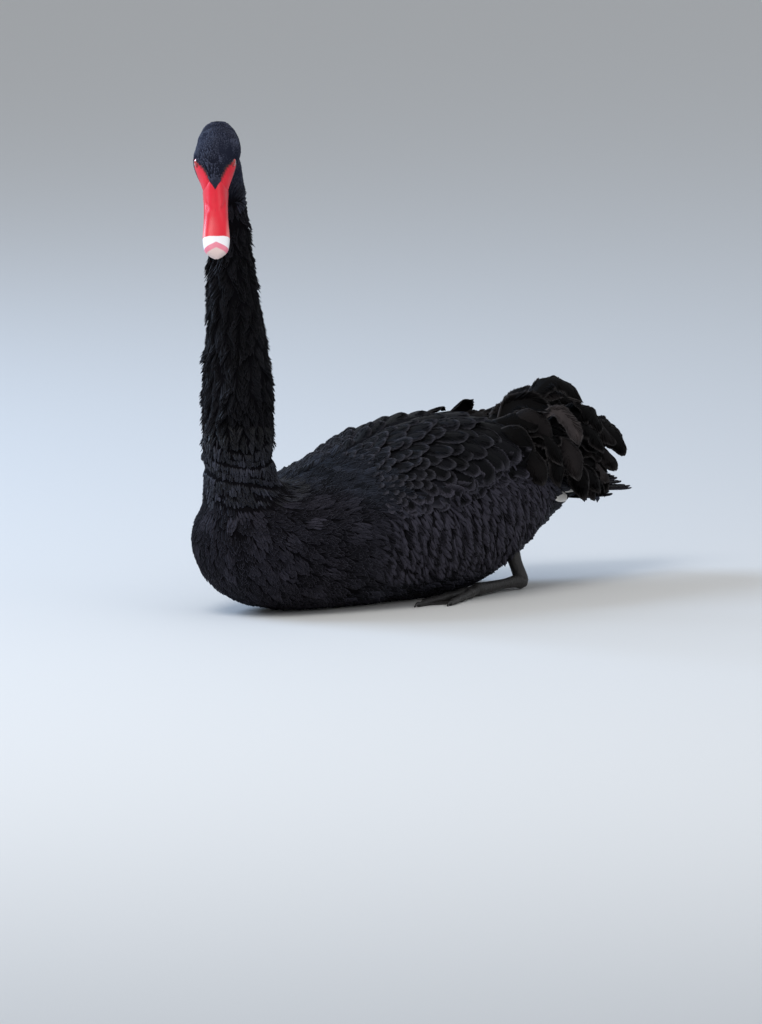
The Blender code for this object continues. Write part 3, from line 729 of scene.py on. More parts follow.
def zone_shares(points):
    """How much each point belongs to each zone of the coat, one column for a zone."""
    local = to_head(points)
    back, z, aside = points[:, 1], points[:, 2], np.abs(points[:, 0])
    rho = np.hypot(points[:, 0], back)
    on_neck = smoothstep(118.0, 150.0, z) * smoothstep(70.0, 56.0, rho)
    high = smoothstep(452.0, 482.0, z + 5.0 * ripple(points, 9.0, 41))
    crown = high * smoothstep(-58.0, -38.0, local[:, 0])
    face = crown * smoothstep(-14.0, 6.0, local[:, 0])
    nape = smoothstep(400.0, 470.0, z) * on_neck
    base = smoothstep(215.0, 165.0, z) * on_neck
    rump = smoothstep(385.0, 430.0, back)
    edge = wing_edge_height(points)
    above = smoothstep(-14.0, 10.0, z - edge)
    mantle = smoothstep(10.0, 60.0, back) * above
    flank = smoothstep(45.0, 75.0, aside) * smoothstep(70.0, 150.0, back) * smoothstep(22.0, 45.0, z)
    breast = smoothstep(110.0, 50.0, back)
    body = 1.0 - on_neck
    shares = {
        "face": face,
        "crown": crown - face,
        "nape": np.clip(nape - crown, 0.0, 1.0),
        "neck": np.clip(on_neck - base - nape, 0.0, 1.0),
        "base": base,
        "rump": body * rump,
        "mantle": body * (1.0 - rump) * mantle,
        "flank": body * (1.0 - rump) * (1.0 - mantle) * flank,
        "breast": body * (1.0 - rump) * (1.0 - mantle) * (1.0 - flank) * breast,
        "belly": body * (1.0 - rump) * (1.0 - mantle) * (1.0 - flank) * (1.0 - breast) + 1e-6,
    }
    table = np.stack([shares[zone] for zone in ZONE_ORDER], -1)
    return table / table.sum(1, keepdims=True)


def lie_of_coat(points, normals):
    """The way that feathers point: back off the bill, down the neck, and back along the body."""
    local = to_head(points)
    back, z = points[:, 1], points[:, 2]
    on_head = smoothstep(440.0, 472.0, z) * smoothstep(-44.0, -10.0, local[:, 0])
    rho = np.hypot(points[:, 0], back)
    on_neck = smoothstep(112.0, 165.0, z) * smoothstep(78.0, 56.0, rho)
    front = smoothstep(70.0, -50.0, back)
    shares = zone_shares(points)
    flank = shares[:, ZONE_ORDER.index("flank")]
    mantle = shares[:, ZONE_ORDER.index("mantle")]
    sideways = np.sign(points[:, 0]) * 0.35 * mantle
    along = np.stack([sideways, 1.0 - 0.72 * front - 0.45 * flank, -0.16 - 0.9 * front - 0.75 * flank], -1)
    down = np.array((0.0, 0.0, -1.0))
    field = on_neck[:, None] * down + (1.0 - on_neck[:, None]) * along
    field = on_head[:, None] * -HEAD_AXES[0] + (1.0 - on_head[:, None]) * field
    unruly = (shares @ ZONE_TABLE[:, UNRULY])[:, None]
    waver = np.stack([ripple(points, 11.0, seed) for seed in (3, 4, 5)], -1)
    fine = np.stack([ripple(points, 4.0, seed) for seed in (13, 14, 15)], -1)
    field = field + unruly * (0.22 * waver + 0.14 * fine)
    field = field - normals * np.sum(field * normals, -1, keepdims=True)
    return unit(field)


def thinned(points, reach):
    """Which points stay when each in turn clears the others within its reach."""
    tree = KDTree(len(points))
    for i, point in enumerate(points):
        tree.insert(point, i)
    tree.balance()
    free = np.ones(len(points), bool)
    kept = []
    for i, point in enumerate(points):
        if free[i]:
            kept.append(i)
            for _, j, _ in tree.find_range(point, reach[i]):
                free[j] = False
    return kept


def scatter(points, normals, corners, spacing_of, draw, tries):
    """Places over the skin, kept apart by the spacing wanted at each, with their normals."""
    a, b, c = (points[corners[:, k]] for k in range(3))
    spacing = spacing_of((a + b + c) / 3.0)
    area = np.linalg.norm(np.cross(b - a, c - a), axis=1) / 2.0
    weight = area / spacing**2
    weight[~np.isfinite(weight)] = 0.0
    total = int(weight.sum() * tries)
    chosen = draw.choice(len(corners), total, p=weight / weight.sum())
    u, v = draw.random(total), draw.random(total)
    over = u + v > 1.0
    u[over], v[over] = 1.0 - u[over], 1.0 - v[over]
    w = 1.0 - u - v
    spots = a[chosen] * w[:, None] + b[chosen] * u[:, None] + c[chosen] * v[:, None]
    facing = sum(normals[corners[chosen, k]] * s[:, None] for k, s in enumerate((w, u, v)))
    kept = thinned(spots, spacing[chosen])
    return spots[kept], unit(facing[kept])


def curl_to_skin(tree, roots, ahead, length, clearance):
    """The curl, in degrees, that brings a straight feather's tip down to its clearance over the skin."""
    tips = roots + ahead * length[:, None]
    found = np.empty(len(roots))
    for i, tip in enumerate(tips):
        place, normal, _, _ = tree.find_nearest(tip)
        found[i] = (Vector(tip) - place).dot(normal)
    return np.degrees(np.clip(-2.4 * (found - clearance) / length, -1.5, 0.2))


def small_spots(tree, spots, normals, draw):
    """The rows for small feathers from their places on the skin, drawn together in clumps."""
    shares = zone_shares(spots)
    _, long, wide, lifted, curled, unruly, reach, together, _ = (shares @ ZONE_TABLE).T
    ahead = lie_of_coat(spots, normals)
    count = len(spots)
    length = long * draw.uniform(0.8, 1.2, count)
    hubs = thinned(spots, reach)
    hub_tree = KDTree(len(hubs))
    for i, k in enumerate(hubs):
        hub_tree.insert(spots[k], i)
    hub_tree.balance()
    clump = np.array([hub_tree.find(spot)[1] for spot in spots])
    pull = spots[hubs][clump] - spots
    for way in (ahead, normals):
        pull -= way * np.sum(pull * way, -1, keepdims=True)
    ahead = unit(ahead * length[:, None] + pull * together[:, None])
    lift = lifted * (1.0 + 0.4 * ripple(spots, 7.0, 11)) + draw.normal(0.0, 2.0, count) * unruly
    lift += draw.normal(0.0, 6.0, len(hubs))[clump] * unruly
    bars = 0.5 + 0.5 * np.sin(2 * math.pi * (spots[:, 1] + 3.5 * ripple(spots, 16.0, 21)) / FLANK_BAR)
    flank, mantle = (shares[:, ZONE_ORDER.index(zone)] for zone in ("flank", "mantle"))
    lift += 4.0 * flank * bars
    rise = -0.7 + 1.6 * mantle * np.exp(-(((spots[:, 1] - 130.0) / 40.0) ** 2))
    root = spots + normals * rise[:, None]
    follow = curl_to_skin(tree, root, ahead, length, 0.3)
    curl = follow + curled + draw.normal(0.0, 7.0, count) * unruly
    roll = draw.normal(0.0, 9.0, count) * unruly
    camber = np.full(count, 16.0)
    twist = draw.normal(0.0, 12.0, count) * unruly
    # Random tint by clump, from near black to lighter: besides random tone, it serves as painted light on
    # some clumps and painted shade on others.
    tint = 0.75 * draw.random(len(hubs))[clump] ** 1.5 + 0.25 * draw.random(count)
    # On the flank, tint follows the bands where the rows lift: paler raised rows, partly the flank's own
    # barring and partly painted sheen.
    tint = tint * (1.0 - 0.8 * flank) + 1.5 * flank * bars
    width = wide * draw.uniform(0.85, 1.15, count)
    return np.column_stack([root, ahead, normals, length, width, lift, curl, roll, camber, twist, tint])


# A feather's row: root (0-2), way ahead (3-5), outward (6-8), length, width, lift, curl, roll,
# camber, twist and tint (9-16), and its place on the unwrap (17-18).
LENGTH, CAMBER, TINT, PLACE = 9, 14, 16, slice(17, 19)


def feather_axes(spots):
    """The rows' directions and sizes as arrays: ahead, out, across, and the eight numbers after."""
    ahead = unit(spots[:, 3:6])
    out = unit(spots[:, 6:9] - ahead * np.sum(spots[:, 6:9] * ahead, -1, keepdims=True))
    return ahead, out, np.cross(ahead, out), [spots[:, k] for k in range(9, 17)]


def leaned(side, upright, lean):
    """The ways across and out of feathers that lean about their shafts."""
    cosine, sine = np.cos(lean)[:, None], np.sin(lean)[:, None]
    return side * cosine + upright * sine, upright * cosine - side * sine


def feather_frames(spots, stations, widths):
    """The middle, heading, facing, across and half width of each feather at each station."""
    ahead, out, side, (length, width, lift, curl, roll, _, twist, _) = feather_axes(spots)
    centre, before, frames = spots[:, :3].copy(), 0.0, []
    for along, share in zip(stations, widths):
        turn = np.radians(lift + curl * ((along + before) / 2.0) ** 1.4)
        step = ahead * np.cos(turn)[:, None] + out * np.sin(turn)[:, None]
        centre = centre + step * (length * (along - before))[:, None]
        here = np.radians(lift + curl * along**1.4)
        heading = ahead * np.cos(here)[:, None] + out * np.sin(here)[:, None]
        upright = out * np.cos(here)[:, None] - ahead * np.sin(here)[:, None]
        across, facing = leaned(side, upright, np.radians(roll + twist * along))
        frames.append((centre, heading, facing, across, 0.5 * width * share))
        before = along
    return frames


def tufts(name, spots, material, stations, widths, thickness, depths=None):
    """Small feathers or barbs as one joined mesh: each a closed wedge with a ridge, ending in a soft point.

    Barbs take their colour from their depth inside their feather's edge."""
    spots = np.asarray(spots, float)
    count, rows = len(spots), len(stations)
    length, camber, tint = spots[:, (LENGTH, CAMBER, TINT)].T
    rings, rims, vanes, patch = [], [], [], []
    for i, (centre, _, facing, across, half) in enumerate(feather_frames(spots, stations, widths)):
        drop = half * np.sin(np.radians(camber))
        along = stations[i]
        for s in (0,) if i == rows - 1 else (-1, 0, 1):
            raised = thickness * (1.0 - 0.8 * along) if s == 0 else 0.0
            rings.append(centre + across * (half * s)[:, None] + facing * (raised - drop * abs(s))[:, None])
            own = np.minimum((1.0 - abs(s)) * half, (1.0 - along) * length)
            rims.append(own if depths is None else depths * (1.0 - along))
            vanes.append(np.stack([along * length * 0.01, half * s * 0.01], -1))
            patch.append((0.0015 * s, 0.003 * (along - 0.5)))
    total = len(rings)
    tip = total - 1
    faces = [(0, 2, 1)]
    for i in range(rows - 2):
        a, b = 3 * i, 3 * i + 3
        for p, q in ((0, 1), (1, 2), (2, 0)):
            faces.append((a + p, a + q, b + q))
            faces.append((a + p, b + q, b + p))
    a = 3 * (rows - 2)
    faces += [(a, a + 1, tip), (a + 1, a + 2, tip), (a + 2, a, tip)]
    points = np.stack(rings, 1)
    points[..., 2] = np.maximum(points[..., 2], 0.0)
    every = (np.array(faces)[None] + (np.arange(count) * total)[:, None, None]).reshape(-1, 3)
    piece = new_object(name, points.reshape(-1, 3), every, material)
    paint(piece, "rim", np.stack(rims, 1).ravel())
    paint(piece, "tint", np.repeat(tint, total))
    paint(piece, "warm", np.repeat(warmth(spots[:, :3]), total))
    bake = spots[:, None, PLACE] + np.array(patch)[None]
    add_uv(piece, "OFBake", bake.reshape(-1, 2))
    add_uv(piece, "Vane", np.stack(vanes, 1).reshape(-1, 2))
    return piece


def around(points, centre, axis, start, span):
    """The unwrap of a piece of skin about a line: the angle round it and the place along it."""
    axis = unit(np.asarray(axis, float))
    first = unit(np.cross(axis, (0.31, 0.17, 0.93) if abs(axis[2]) < 0.8 else (0.17, 0.95, 0.1)))
    second = np.cross(axis, first)
    local = points - np.asarray(centre, float)
    turn = np.arctan2(local @ second, local @ first) / (2 * math.pi) + 0.5
    along = (local @ axis - start) / span
    return np.stack([0.01 + 0.98 * turn, 0.01 + 0.98 * np.clip(along, 0.0, 1.0)], -1)


SMALL_STATIONS = (0.0, 0.42, 0.84, 1.0)
SMALL_WIDTHS = (0.7, 1.0, 0.72, 0.0)
SMALL_THICKNESS = 0.7
SMALL_TRIES = 2.2
WING_SKIN_START, WING_SKIN_END = 148.0, 446.0
HEAD_START = 455.0
NECK_START, NECK_SPLIT, NECK_REACH = 128.0, 215.0, 66.0
BREAST_END = 130.0


def under_wing(points):
    """True where a wing's own large feathers cover the skin."""
    above = points[:, 2] > wing_edge_height(points) + 4.0
    return above & (points[:, 1] > WING_SKIN_START) & (points[:, 1] < WING_SKIN_END)


def coat_regions(points):
    """The pieces that the small feathers fall into, by name."""
    z, rho = points[:, 2], np.hypot(points[:, 0], points[:, 1])
    head = z > HEAD_START
    neck = (z > NECK_START) & (rho < NECK_REACH) & ~head
    body = ~head & ~neck
    return {
        "head_coat": head,
        "neck_coat_upper": neck & (z > NECK_SPLIT),
        "neck_coat_lower": neck & (z <= NECK_SPLIT),
        "breast_coat": body & (points[:, 1] < BREAST_END),
        "body_coat": body & (points[:, 1] >= BREAST_END),
    }


COAT_LINES = {
    "head_coat": (EYE_MIDPOINT, -HEAD_AXES[0], -50.0, 120.0),
    "neck_coat_upper": ((0.0, 0.0, 0.0), (0.0, 0.0, 1.0), 210.0, 250.0),
    "neck_coat_lower": ((0.0, 0.0, 0.0), (0.0, 0.0, 1.0), 120.0, 100.0),
    "breast_coat": ((0.0, 0.0, 80.0), (0.0, 1.0, 0.0), -60.0, 195.0),
    "body_coat": ((0.0, 0.0, 90.0), (0.0, 1.0, 0.0), 125.0, 400.0),
}


def make_body_coat(skin, tree, finishes):
    """The small feathers of head, neck and body, in pieces by place."""
    draw = np.random.default_rng(7)
    points, normals, corners = skin_arrays(skin)
    middles = points[corners].mean(1)

    def spacing(centres):
        gap = (zone_shares(centres) @ ZONE_TABLE)[:, SPACING]
        local = to_head(centres)
        gap[lore_mask(centres) > 0.5] = np.inf
        gap[(local[:, 0] > 33.0) & (centres[:, 2] > 430.0)] = np.inf
        gap[under_wing(centres)] = np.inf
        gap[centres[:, 2] < 2.2] = np.inf
        for side in (-1, 1):
            eye = from_head((EYE_FORWARD, side * EYE_SIDE, EYE_HEIGHT))
            gap[np.linalg.norm(centres - eye, axis=1) < EYE_RADIUS + 0.8] = np.inf
        return gap

    pieces = []
    for name, chosen in coat_regions(middles).items():
        spots, facing = scatter(points, normals, corners[chosen], spacing, draw, SMALL_TRIES)
        rows = small_spots(tree, spots, facing, draw)
        table = np.column_stack([rows, around(spots, *COAT_LINES[name])])
        if name == "head_coat":
            table = np.vstack([table, forehead_spots(draw)])
        pieces.append(tufts(name, table, finishes[name], SMALL_STATIONS, SMALL_WIDTHS, SMALL_THICKNESS))
    return pieces


def forehead_spots(draw):
    """Small feathers in the forehead's point, which lies over the bill's root."""
    rows = smooth_rows(BILL, 9)
    forward = draw.uniform(16.0, FOREHEAD_TIP, FOREHEAD_TRIES)
    half = np.interp(forward, *np.array(LORE_TOP).T)
    aside = draw.uniform(-1.0, 1.0, FOREHEAD_TRIES) * half
    kept = np.abs(aside) < half - 0.2
    forward, aside = forward[kept], aside[kept]
    top, line, wide = (np.interp(forward, rows[:, 0], rows[:, k]) for k in (1, 2, 4))
    power = np.interp(forward, *np.array(BILL_POWER).T)
    share = np.clip(np.abs(aside) / wide, 0.0, 0.98) ** (power / 2.0)
    height = line + (top - line) * np.sqrt(1.0 - share**2) ** (2.0 / power)
    count = len(forward)
    root = from_head(np.stack([forward, aside, height - 0.3], -1))
    normal = unit(np.stack([np.full(count, 0.25), aside / wide * 1.4, np.ones(count)], -1) @ HEAD_AXES)
    ahead = np.stack([np.full(count, -1.0), draw.normal(0.0, 0.10, count), np.full(count, 0.25)], -1)
    zero = np.zeros(count)
    place = around(root, *COAT_LINES["head_coat"])
    return np.column_stack([root, unit(ahead @ HEAD_AXES), normal, draw.uniform(3.2, 5.0, count),
                            np.full(count, 1.9),
                            draw.uniform(4.0, 10.0, count), zero - 12.0, zero, zero + 16.0, zero,
                            draw.random(count), place])


# Large feathers


def vane_widths(stations, root, blunt):
    """A long feather's width at its stations: narrower at the root, round over its last part."""
    along = np.asarray(stations)
    grown = root + (1.0 - root) * smoothstep(0.0, 0.5, along)
    past = np.clip((along - (1.0 - blunt)) / blunt, 0.0, 0.995)
    return grown * np.sqrt(1.0 - past**2)


def spread_stations(count, power=1.5):
    """Places along a feather, closer together towards its tip."""
    return 1.0 - (1.0 - np.linspace(0.0, 1.0, count)) ** power


COVERT_STATIONS = spread_stations(11, 2.0)
COVERT_SHAPE = vane_widths(COVERT_STATIONS, 0.5, 0.25)
CURL_STATIONS = spread_stations(17)
CURL_SHAPE = vane_widths(CURL_STATIONS, 0.45, 0.28)
LONG_STATIONS = spread_stations(12)
LONG_SHAPE = vane_widths(LONG_STATIONS, 0.5, 0.26)
# How many points lie across a blade, and how thick it is at its shaft.
COVERT_BLADE = (7, 0.7)
CURL_BLADE = (9, 0.8)
LONG_BLADE = (7, 0.8)
RUFFLE_WAVE = 24.0
RUFFLE_LAG = 1.9
RUFFLE = 2.0


def vane_shift(spots, along, s, half, ruffle):
    """How far each feather's surface stands off its middle, at shares along and across it."""
    length, camber, tint = spots[:, (LENGTH, CAMBER, TINT)].T
    turn = 2 * math.pi * (along * length / RUFFLE_WAVE + tint * 3.0)
    wave = np.sin(turn + np.where(s > 0, RUFFLE_LAG, 0.0))
    edge = ruffle * wave * np.abs(s) ** 1.6 * smoothstep(0.15, 0.6, along)
    return edge - half * np.sin(np.radians(camber)) * s * s


def draped_frames(tree, spots, stations, widths):
    """The frames of feathers that lie along the skin, rising from their roots to their tips' height.

    Their rows' lift is the tip's height over the skin in millimetres, and their curl turns its end up."""
    ahead, _, _, (length, width, rise, curl, roll, _, twist, _) = feather_axes(spots)
    heading, before, frames = ahead, 0.0, []
    ground = spots[:, :3].copy()
    for along, share in zip(stations, widths):
        ground = ground + heading * (length * (along - before))[:, None]
        upright = np.empty_like(ground)
        for i, point in enumerate(ground):
            place, normal, _, _ = tree.find_nearest(point)
            ground[i], upright[i] = place, normal
        heading = unit(heading - upright * np.sum(heading * upright, -1, keepdims=True))
        side = np.cross(heading, upright)
        height = -ROOT_DEPTH + (ROOT_DEPTH + rise) * along + np.radians(curl) * length * 0.5 * along**4
        across, facing = leaned(side, upright, np.radians(roll + twist * along))
        frames.append((ground + upright * height[:, None], heading, facing, across, 0.5 * width * share))
        before = along
    return frames


def blades(name, spots, frames, material, stations, blade, ruffle=0.0):
    """Large feathers as one joined mesh: each a cambered, closed blade, its edges ruffled if asked."""
    spots = np.asarray(spots, float)
    count, rows = len(spots), len(stations)
    columns, thickness = blade
    length, tint = spots[:, (LENGTH, TINT)].T
    slots = np.linspace(-0.95, 0.95, columns)
    top = np.empty((count, rows, columns, 3))
    under = np.empty((count, rows, columns, 3))
    rim = np.empty((count, rows, columns))
    vane = np.empty((count, rows, columns, 2))
    for i, (centre, _, facing, across, half) in enumerate(frames):
        along = stations[i]
        for j, s in enumerate(slots):
            shift = vane_shift(spots, along, s, half, ruffle)
            middle = centre + across * (half * s)[:, None] + facing * shift[:, None]
            thick = 0.5 * thickness * (1.0 - 0.8 * abs(s)) * (1.0 - 0.6 * along)
            top[:, i, j] = middle + facing * thick
            under[:, i, j] = middle - facing * thick
            rim[:, i, j] = np.minimum((1.0 - abs(s)) * half, (1.0 - along) * length)
            vane[:, i, j, 0] = along * length * 0.01
            vane[:, i, j, 1] = half * s * 0.01
    cells = rows * columns

    def at(layer, i, j):
        return layer * cells + i * columns + j

    faces = []
    for i in range(rows - 1):
        for j in range(columns - 1):
            faces.append((at(0, i, j), at(0, i, j + 1), at(0, i + 1, j + 1), at(0, i + 1, j)))
            faces.append((at(1, i, j), at(1, i + 1, j), at(1, i + 1, j + 1), at(1, i, j + 1)))
        for j, flip in ((0, False), (columns - 1, True)):
            quad = (at(0, i, j), at(0, i + 1, j), at(1, i + 1, j), at(1, i, j))
            faces.append(quad[::-1] if flip else quad)
    last = rows - 1
    for j in range(columns - 1):
        faces.append((at(0, 0, j), at(1, 0, j), at(1, 0, j + 1), at(0, 0, j + 1)))
        faces.append((at(0, last, j), at(0, last, j + 1), at(1, last, j + 1), at(1, last, j)))
    points = np.stack([top, under], 1).reshape(count, -1, 3)
    every = (np.array(faces)[None] + (np.arange(count) * 2 * cells)[:, None, None]).reshape(-1, 4)
    piece = new_object(name, points.reshape(-1, 3), every, material)
    paint(piece, "rim", np.stack([rim, rim], 1).ravel())
    paint(piece, "tint", np.repeat(tint, 2 * cells))
    paint(piece, "warm", np.repeat(warmth(spots[:, :3]), 2 * cells))
    along, across = np.meshgrid(np.array(stations), slots, indexing="ij")
    patch = np.stack([across * 0.5, along - 0.5], -1).reshape(1, 1, cells, 2) * 0.003
    bake = spots[:, None, None, PLACE] + patch
    add_uv(piece, "OFBake", np.broadcast_to(bake, (count, 2, cells, 2)).reshape(-1, 2))
    both = np.broadcast_to(vane.reshape(count, 1, cells, 2), (count, 2, cells, 2))
    add_uv(piece, "Vane", both.reshape(-1, 2))
    return piece


BARB_STATIONS = (0.0, 0.55, 1.0)
BARB_WIDTHS = (1.0, 0.8, 0.0)
BARB_THICKNESS = 0.3
# How many barbs on each feather, the share of it where they start, and their width.
COVERT_BARBS = (84, 0.5, 1.4)
CURL_BARBS = (160, 0.2, 1.7)
TAIL_BARBS = (120, 0.3, 1.3)


def on_vane(stack, stations, spots, along, s, ruffle):
    """The place, heading, facing and half width of each large feather at shares along and across it."""
    along = np.clip(along, 0.0, 1.0)
    i = np.clip(np.searchsorted(stations, along) - 1, 0, len(stations) - 2)
    w = (along - stations[i]) / (stations[i + 1] - stations[i])
    pick = np.arange(len(spots))
    centre, heading, facing, across = (
        part[pick, i] * (1.0 - w)[:, None] + part[pick, i + 1] * w[:, None] for part in stack[:4]
    )
    half = stack[4][pick, i] * (1.0 - w) + stack[4][pick, i + 1] * w
    shift = vane_shift(spots, along, s, half, ruffle)
    return centre + across * (half * s)[:, None] + facing * shift[:, None], heading, facing, half


def barb_spots(spots, frames, stations, barbs, draw, ruffle=0.0):
    """Barbs over each large feather's outer part, as rows, and their roots' depths from its edge."""
    spots = np.asarray(spots, float)
    stack = [np.stack([frame[k] for frame in frames], 1) for k in range(5)]
    count, length, tint = len(spots), spots[:, LENGTH], spots[:, TINT]
    each, start, width = barbs
    side_barbs = int(each * 0.8)
    splits = draw.normal(0.0, 1.0, (side_barbs // 5 + 1, 2, 2, count))
    rows, depths = [], []
    for b in range(each):
        spread = draw.random(count)
        if b < side_barbs:
            way = 1.0 - 2.0 * (b % 2)
            along = start + (0.95 - start) * (b + spread) / side_barbs
            s = way * draw.uniform(0.3, 0.92, count)
            end_s = way * draw.uniform(0.96, 1.08, count)
            loose = splits[b // 5, b % 2]
        else:
            along = draw.uniform(0.87, 0.985, count)
            s = np.clip(2.0 * (b - side_barbs + spread) / (each - side_barbs) - 1.0, -0.95, 0.95)
            end_s = s * 1.12
            loose = draw.normal(0.0, 0.6, (2, count))
        root, _, facing, half = on_vane(stack, stations, spots, along, s, ruffle)
        reach = 1.2 * np.abs(end_s - s) * half if b < side_barbs else (1.0 - along) * length + spread * 1.6
        past = along + reach / length
        end, onward, _, _ = on_vane(stack, stations, spots, past, end_s, ruffle)
        over = np.clip(past - 1.0, 0.0, 1.0) * length * 0.5 + loose[0] * 0.5
        end = end + onward * over[:, None] + facing * (loose[1] * 0.35)[:, None]
        way_to_end = end - root
        size = np.maximum(np.linalg.norm(way_to_end, axis=1), 1.2) * draw.uniform(0.92, 1.08, count)
        zero = np.zeros(count)
        broad = width * draw.uniform(0.75, 1.25, count)
        rows.append(np.column_stack([root + facing * 0.2, unit(way_to_end), facing, size, broad, zero + 4.0,
                                     zero - 9.0, zero, zero, zero, tint, spots[:, PLACE]]))
        depths.append(np.minimum((1.0 - np.abs(s)) * half, (1.0 - along) * length))
    return np.vstack(rows), np.concatenate(depths)


ROOT_DEPTH = 2.5
COVERT_START, COVERT_END = 120.0, 338.0
COVERT_STEP = (7.0, 23.0)
COVERT_WIDTH = (11.5, 46.0)
COVERT_OVERLAP = 1.1
COVERT_LENGTH = (25.0, 82.0)
COVERT_FALL = (0.42, 1.65)
COVERT_CAMBER = 13.0


def row_on_wing(back, share, fall, length, width, lift, curl, roll, camber, twist, tint):
    """One feather's row from its root's place on the left wing."""
    point, normal, along, down = (v[0] for v in wing_axes(np.array([back]), np.array([share])))
    aim = unit(along + down * fall)
    root = point - normal * WING_COAT
    place = (0.03 + 0.9 * share, 0.03 + 0.9 * (back - 60.0) / 400.0)
    return (*root, *aim, *normal, length, width, lift, curl, roll, camber, twist, tint, *place)


def covert_spots(draw, side):
    """The coverts' rows, each starting between two feathers of the one before."""
    rows = []
    back, index = COVERT_START, int(side < 0)
    while back < COVERT_END:
        grown = (back - COVERT_START) / (COVERT_END - COVERT_START)
        width = COVERT_WIDTH[0] + (COVERT_WIDTH[1] - COVERT_WIDTH[0]) * grown
        length = COVERT_LENGTH[0] + (COVERT_LENGTH[1] - COVERT_LENGTH[0]) * grown
        line = wing_points(np.full(33, back), np.linspace(0.0, 1.0, 33) * wing_edge(back))
        span = np.linalg.norm(np.diff(line, axis=0), axis=1).sum()
        count = max(4, int(round(span / (0.86 * width))))
        for k in range(count):
            share = (k + 0.06 + 0.5 * (index % 2)) / count
            place = back + draw.uniform(-0.25, 0.25) * COVERT_STEP[1] * (0.4 + 0.6 * grown)
            fall = COVERT_FALL[0] + (COVERT_FALL[1] - COVERT_FALL[0]) * share + draw.uniform(-0.12, 0.12)
            size = (1.14 - 0.3 * share) * draw.uniform(0.9, 1.1)
            rise = (1.6 + 6.4 * grown) * min(0.55 + 1.5 * share, 1.0)
            rise += 3.0 * math.exp(-(((back - 180.0) / 55.0) ** 2)) * (1.0 - share)
            rise += draw.uniform(-1.0, 2.0) * (0.3 + 0.7 * grown)
            rows.append(row_on_wing(place, share * float(wing_edge(back)), fall, length * size,
                                    COVERT_OVERLAP * width * size, rise, draw.uniform(-4.0, 6.0),
                                    draw.uniform(-3.0, 8.0), COVERT_CAMBER, draw.uniform(-9.0, 9.0),
                                    draw.random()))
        back += COVERT_STEP[0] + (COVERT_STEP[1] - COVERT_STEP[0]) * grown
        index += 1
    return rows


SECONDARIES = 10
SECONDARY_PLACES = (150.0, 318.0)


def secondary_spots(draw):
    """The row of long feathers along the wing's lower edge."""
    rows = []
    for k in range(SECONDARIES):
        back = SECONDARY_PLACES[0] + (SECONDARY_PLACES[1] - SECONDARY_PLACES[0]) * k / (SECONDARIES - 1)
        rows.append(row_on_wing(back, float(wing_edge(back)) - 0.04, draw.uniform(0.1, 0.2),
                                78.0 * draw.uniform(0.95, 1.05), 28.0, 3.0, 0.0, 5.0, 11.0,
                                draw.uniform(-3.0, 3.0), draw.random()))
    return rows


# Low curled feathers that fill the wing's end: place, how many, lift, curl and length.
CURL_ROWS = (
    (330, 5, 16, -16, 56),
    (348, 6, 24, -26, 56),
    (366, 6, 32, -38, 58),
    (384, 6, 38, -48, 62),
    (402, 6, 42, -56, 66),
    (418, 6, 40, -58, 70),
    (432, 6, 34, -56, 72),
    (445, 6, 26, -50, 72),
)
CURL_WIDTH = 31.0
# Those whose tips would hang below this height, or come this near the bird's middle, are shorter.
LOW_TIP, INNER_TIP = 88.0, 6.0
WING_END = 451.0

